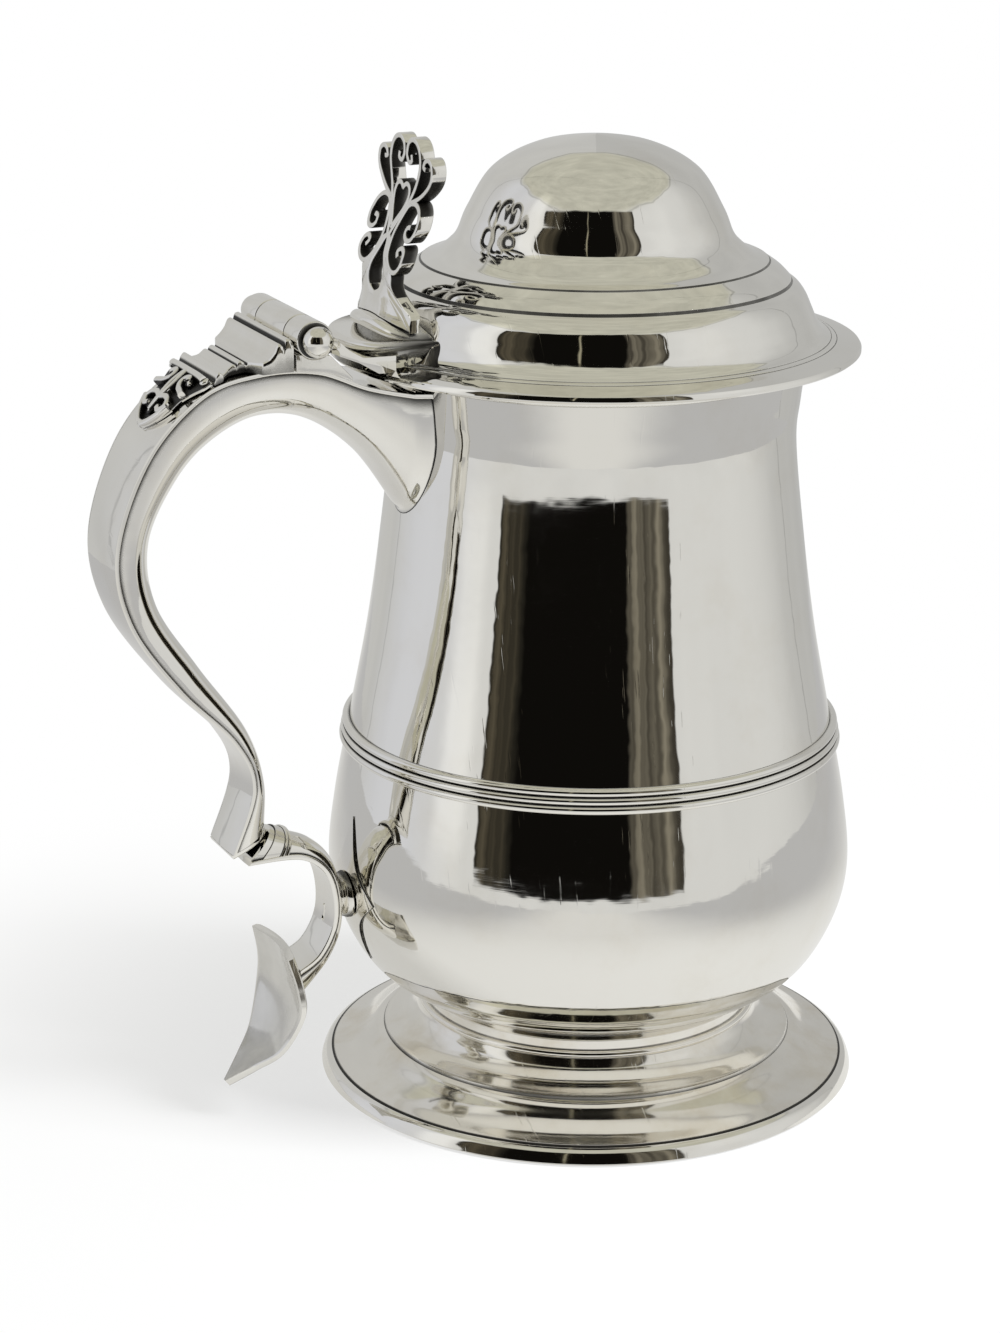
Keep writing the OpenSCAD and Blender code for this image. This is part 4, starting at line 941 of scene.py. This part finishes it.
STEM = [[13.9, -3], [13.7, -0.8], [13, 0.9], [11.5, 2.2], [9.7, 3.5], [8.4, 5], [7.6, 6.6], [7.5, 8.8],
        [5.2, 9.9], [3.2, 12], [2.3, 14.8], [0.4, 16]]
TEAR = [[0, 4.4], [2.4, 5.4], [3.3, 7.6], [2.8, 9.6], [1.3, 12], [0.5, 14], [0, 14.8]]
# The face in the side view, as shares of the lean and of the height
FACE = [[0, -0.02], [0.09, 0.05], [0.15, 0.2], [0.29, 0.33], [0.52, 0.45], [0.9, 0.68], [1, 0.9],
        [1.02, 1.02]]


def on_face(v):
    """Lays flat work, [across, up, forward], on the S-shaped face of the thumbpiece."""
    face = through(np.array(FACE) * [THUMB_LEAN, THUMB_H], 12)
    back = np.interp(v[:, 1], face[:, 1], face[:, 0])
    low = share((9 - v[:, 1]) / 5)
    sweep = np.clip(STEM_FRONT_R - np.sqrt(STEM_FRONT_R ** 2 - v[:, 0] ** 2) - 0.3, 0, 3) * low
    thick = 1 - 0.55 * low * share(np.abs(v[:, 0]) / 14 - 0.4)
    return np.stack([-THUMB_X + back + sweep - v[:, 2] * thick, v[:, 0],
                     PLINTH_Z + SEAM + 0.999 * v[:, 1]], 1)


def even_loop(half, n):
    """Closed loop of even steps from the right half of an outline, lowest point first."""
    run = lengths(half)
    t = np.linspace(0, run[-1], n)
    right = np.stack([np.interp(t, run, values) for values in half.T], 1)
    return np.vstack([right, right[-2:0:-1] * [-1, 1]])


def shrunk(loop, d):
    """Closed loop pushed to its inside."""
    return loop + d * left_of(np.vstack([loop[-1:], loop, loop[:1]]))[1:-1]


def make_thumbpiece():
    """Scrolls on a pierced stem, made flat and then laid on the bent face."""
    lines = [through(p, 12) for p in (SCROLL_TALL, SCROLL_WING, SCROLL_SIDE, HEART)]
    lines += [through(SCROLL_SIDE[::-1], 12)[-14:]]
    scrolls = bands("thumb-scrolls", lines, BAND_W, THUMB_T, 0.26, 0.95 * BAND_W)
    moved(scrolls, lambda v: v - [0, 0, THUMB_T / 2])
    flare = through(STEM, 14)
    flare = flare[flare[:, 1] > -sunk(flare[:, 0])]
    base = np.linspace(0, flare[0, 0], 24, endpoint=False)
    rim = even_loop(np.vstack([np.column_stack([base, -sunk(base)]), flare, [[0, flare[-1, 1]]]]), 110)
    hole = even_loop(through(TEAR, 14), 110)
    loops = []
    for f, push, depth in (
            (0, 0, THUMB_T - 0.3), (0, 0, 0.3), (0, 0.1, 0.08), (0, 0.3, 0), (0.3, 0, 0), (0.65, 0, 0),
            (1, -0.3, 0), (1, -0.1, 0.08), (1, 0, 0.35), (1, 0, 1), (1, 0, THUMB_T - 0.3),
            (1, -0.3, THUMB_T), (0.5, 0, THUMB_T), (0, 0.3, THUMB_T)):
        spot = mix(shrunk(rim, push if f < 0.5 else 0.3), shrunk(hole, push if f > 0.5 else -0.3), f)
        loops.append(np.column_stack([spot, np.full(len(spot), -depth)]))
    loops.append(loops[0])
    stem = outwards(piece("thumb-stem", np.vstack(loops), ring_faces(len(loops), len(rim))))
    whole = joined("scroll-thumbpiece", [outwards(scrolls, FINE_WELD), stem])
    blacken(whole, 0, 0.27, 7, THUMB_T)
    moved(whole, on_face)
    # The face looks the other way from the flat work, which turns the faces inside out
    whole.data.flip_normals()
    dress(whole, "lid", CAST, "thumbpiece")


# Pieces whose solids have the right shape: their edges are eased, and some faces are darkened by rules on
# their points and normals
def thinned(v):
    """The mount gets thinner towards its points."""
    low, high = v.min(0), v.max(0)
    part = (v - (low + high) / 2) / ((high - low) / 2)
    far = share(np.hypot(part[:, 1], part[:, 2]))
    r = np.hypot(v[:, 0], v[:, 1])
    bed = body_at(v[:, 2]) + SEAM
    v[:, :2] *= (mix(bed, r, 1 - 0.72 * far) / r)[:, None]
    return v


# Degrees: faces flatter than the first are joined, edges from the second are eased, from the third left sharp
FLAT, EASED_FROM, EASED_SHARP = 0.5, 35, 40


def eased(node, name, body, width, darkness=None, change=None):
    """Piece from a CAD solid with its edges eased, then moved and blackened by rules on its points."""
    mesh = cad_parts[node].data.copy()
    mesh.materials.clear()
    obj = linked(name, mesh)
    bm = bmesh.new()
    bm.from_mesh(mesh)
    bmesh.ops.remove_doubles(bm, verts=bm.verts, dist=WELD)
    bmesh.ops.dissolve_limit(bm, angle_limit=math.radians(FLAT), verts=bm.verts, edges=bm.edges)
    bm.to_mesh(mesh)
    bm.free()
    modifier = obj.modifiers.new("eased edges", "BEVEL")
    modifier.width, modifier.segments, modifier.limit_method = width * MM, 3, "ANGLE"
    modifier.angle_limit = math.radians(EASED_FROM)
    settled(obj)
    if change:
        moved(obj, change)
    obj.data.shade_smooth()
    obj.data.set_sharp_from_angle(angle=math.radians(EASED_SHARP))
    store_darkness(obj.data, darkness and darkness(points_of(obj) / MM, points_of(obj, "normal")))
    dress(obj, body, CAST, node)


def make_small_pieces():
    eased("hinge_bracket", "hinge-bracket", "vessel", 0.2,
          lambda v, n: np.clip((np.abs(v[:, 1]) - 15) / 0.4, 0, 0.2))
    eased("lid_leaf", "lid-leaf", "lid", 0.25)
    # The socket darkens on its faces that look up and down, and the mount on its thin edges.
    eased("lower_socket", "lower-socket", "vessel", 0.1,
          lambda v, n: 0.62 * share((np.abs(n[:, 2]) - 0.25) / 0.5))
    eased("lower_mount", "lower-mount", "vessel", 0.12, lambda v, n: 0.8 * (np.abs(n[:, 0]) < 0.7), thinned)
    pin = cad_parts["hinge_pin"]
    pin.data.materials.clear()
    pin.data.materials.append(CAST)


# Studio: places in metres, angles in degrees
CAMERA_AT, CAMERA_TURN, CAMERA_LENS = (-0.3152, -0.6515, 0.3140), (72.7546, -0.2270, -24.2303), 95.908
LAMP_AT, LAMP_AIM, LAMP_SIZE, LAMP_POWER = (0.54, -0.56, 0.85), (0, 0, 0.08), 0.4, 14.0
FLOOR_R, FLOOR_Z = 0.46, -0.0002
# The dark opening, round from the camera's side and up from level, and the lower edge of the roof
OPENING_LEFT, OPENING_RIGHT, OPENING_FOOT, OPENING_HEAD, EAVES = -55, 42, -5.5, 47, 44
WHITE, COOL = (1, 1, 1, 1), (0.95, 0.965, 1.02, 1)
WALLS, ROOF = (1.0, 1.0, 0.985, 1), (1.0, 0.985, 0.84, 1)
LEFT_DRAPE = (0.016, 0.0145, 0.011, 1), (0.1, 0.085, 0.058, 1)
RIGHT_DRAPE = (0.045, 0.04, 0.031, 1), (0.26, 0.235, 0.18, 1)
DARK, SLIT = (0.0045, 0.004, 0.0033, 1), (0.85, 0.78, 0.55, 1)
# The floor's colours: its own, as mirrored near the object, and a painted shade that it shows in reflections
# to the sides.
CLOTH, CLOTH_NEAR, REFLECTED_SHADE_BESIDE = (0.87, 0.88, 0.9, 1), (0.73, 0.725, 0.705, 1), (0.5, 0.5, 0.505, 1)


def emptied(owner):
    """Net on the cleared node tree of a material or a world."""
    owner.use_nodes = True
    owner.node_tree.nodes.clear()
    return Net(owner.node_tree)


def make_camera():
    camera = bpy.data.cameras.new("camera")
    camera.lens, camera.sensor_width = CAMERA_LENS, 36
    camera.clip_start, camera.clip_end = 0.02, 20
    obj = linked("camera", camera)
    obj.location = CAMERA_AT
    obj.rotation_euler = [math.radians(a) for a in CAMERA_TURN]
    bpy.context.scene.camera = obj


def make_world():
    """White tent with one dark opening on the side that the photograph was taken from."""
    world = bpy.data.worlds.new("tent")
    bpy.context.scene.world = world
    net = emptied(world)
    way = net.add("ShaderNodeTexCoord", out="Generated")
    part = net.add("ShaderNodeSeparateXYZ", {"Vector": way})
    x, y, z = part.out("X"), part.out("Y"), part.out("Z")
    face = math.atan2(CAMERA_AT[1], CAMERA_AT[0])
    ahead = x * math.cos(face) + y * math.sin(face)
    beside = y * math.cos(face) - x * math.sin(face)
    turn = net.maths("ARCTAN2", beside, ahead)
    lift = net.maths("ARCSINE", z)
    soft = net.noise(way, 3.0, 2.0) - 0.5

    def between(value, low, high, edge):
        """One from low to high degrees, with an edge in degrees."""
        low, high, edge = math.radians(low), math.radians(high), math.radians(edge)
        return net.ease(value, low - edge, low + edge) * net.ease(value, high + edge, high - edge)

    turned_to = turn + soft * 0.016
    head = lift + turn * turn * 0.127 + soft * 0.02
    left_edge = turned_to - net.ease(lift, math.radians(14), math.radians(3)) * math.radians(5)
    wide = between(left_edge, OPENING_LEFT, 180, 0.5) * between(turned_to, -180, OPENING_RIGHT, 0.5)
    opening = wide * between(head, -90, OPENING_HEAD, 0.5) * between(lift, OPENING_FOOT, 90, 0.4)
    core = between(turned_to, -34, 19, 1.2)
    streaks = net.add("ShaderNodeCombineXYZ", {"X": turn * 9, "Y": lift * 0.3})
    folds = net.ease(net.noise(streaks, 1.0), 0.36, 0.72)
    eaves = lift - math.radians(EAVES) + soft * 0.1
    roof = between(eaves, 0.5, 180, 2.5)
    seams = between(eaves, -0.5, 0.5, 0.4) + between(net.maths("ABSOLUTE", turn), 127.6, 128.4, 0.4)
    squat = net.add("ShaderNodeVectorMath", {0: way, 1: (1, 1, 4)}, operation="MULTIPLY")
    sheet = net.noise(squat, 5.0, 4.0, 0.6) - 0.5
    lamp = between(turn, 50, 76, 9) * between(lift, 14, 36, 9)
    shade = between(turn, 112, 220, 22) * 0.19 + between(turn, -220, -122, 16) * 0.13
    strip = between(turn, -72, -57, 4) * between(lift, -5, 50, 6)
    level = (0.69 + 0.1 * soft - shade * (1 - roof) + 0.16 * strip - roof * (0.17 - 0.3 * sheet)
             + 0.06 * lamp - seams * 0.15)
    cool = between(turn, -125, -75, 18) * (1 - roof)
    sheets = net.tint(cool, net.tint(roof, WALLS, ROOF), COOL)
    tent = net.add("ShaderNodeVectorMath", {0: sheets, "Scale": level}, operation="SCALE")
    drape = net.tint(between(turn, 0, 90, 5), net.tint(folds, *LEFT_DRAPE), net.tint(folds, *RIGHT_DRAPE))
    slit = between(turn, -8.5, -7.5, 0.5) * between(lift, 10, 45, 5)
    gap = net.tint(slit * 0.4, net.tint(core, drape, DARK), SLIT)
    seen = net.add("ShaderNodeLightPath", out="Is Camera Ray")
    colour = net.tint(seen, net.tint(opening, tent, gap), WHITE)
    net.add("ShaderNodeOutputWorld", {"Surface": net.add("ShaderNodeBackground", {"Color": colour})})


def make_floor():
    """Pale cloth that takes a soft shadow near the foot and looks white further out, and in reflections shows
    a painted shade that darkens it to both sides of the object.
    """
    bm = bmesh.new()
    bmesh.ops.create_circle(bm, cap_ends=True, segments=128, radius=FLOOR_R)
    mesh = bpy.data.meshes.new("floor")
    bm.to_mesh(mesh)
    bm.free()
    floor = linked("floor", mesh)
    floor.location.z = FLOOR_Z
    material = bpy.data.materials.new("table")
    net = emptied(material)
    where = net.add("ShaderNodeTexCoord", out="Object")
    far = net.ease(net.add("ShaderNodeVectorMath", {0: where}, "Value", operation="LENGTH"), 0.07, 0.21)
    seen = net.add("ShaderNodeLightPath", out="Is Camera Ray")
    mirrored = net.add("ShaderNodeLightPath", out="Is Glossy Ray")
    part = net.add("ShaderNodeSeparateXYZ", {"Vector": where})
    turn = math.radians(CAMERA_TURN[2])
    beside = net.maths("ABSOLUTE", part.out("X") * math.cos(turn) + part.out("Y") * math.sin(turn))
    # Painted shade in reflections: the floor as mirrored in the silver darkens to both sides of the object.
    reflected_floor_shade = net.tint(net.ease(beside, 0.05, 0.25), CLOTH_NEAR, REFLECTED_SHADE_BESIDE)
    both = net.add("ShaderNodeMixShader", {
        0: seen * (0.62 + 0.38 * far) + mirrored * (0.75 + 0.25 * far),
        1: net.add("ShaderNodeBsdfDiffuse", {"Color": CLOTH}),
        2: net.add("ShaderNodeEmission", {"Color": net.tint(mirrored, WHITE, reflected_floor_shade)})})
    net.add("ShaderNodeOutputMaterial", {"Surface": both})
    mesh.materials.append(material)


def make_lamp():
    lamp = bpy.data.lights.new("soft box", "AREA")
    lamp.shape, lamp.size, lamp.energy = "SQUARE", LAMP_SIZE, LAMP_POWER
    obj = linked("soft box", lamp)
    obj.location = LAMP_AT
    obj.rotation_euler = (Vector(LAMP_AT) - Vector(LAMP_AIM)).to_track_quat("Z", "Y").to_euler()
    obj.visible_glossy = False


make_camera()
make_world()
make_floor()
make_lamp()
make_body()
make_lip_wire()
make_girdle()
make_foot()
make_handle()
make_collar()
make_shield()
make_hinge()
make_drop()
make_pendant()
make_lid()
make_thumbpiece()
make_small_pieces()

bpy.context.scene.view_settings.view_transform = "Standard"
bpy.context.view_layer.update()
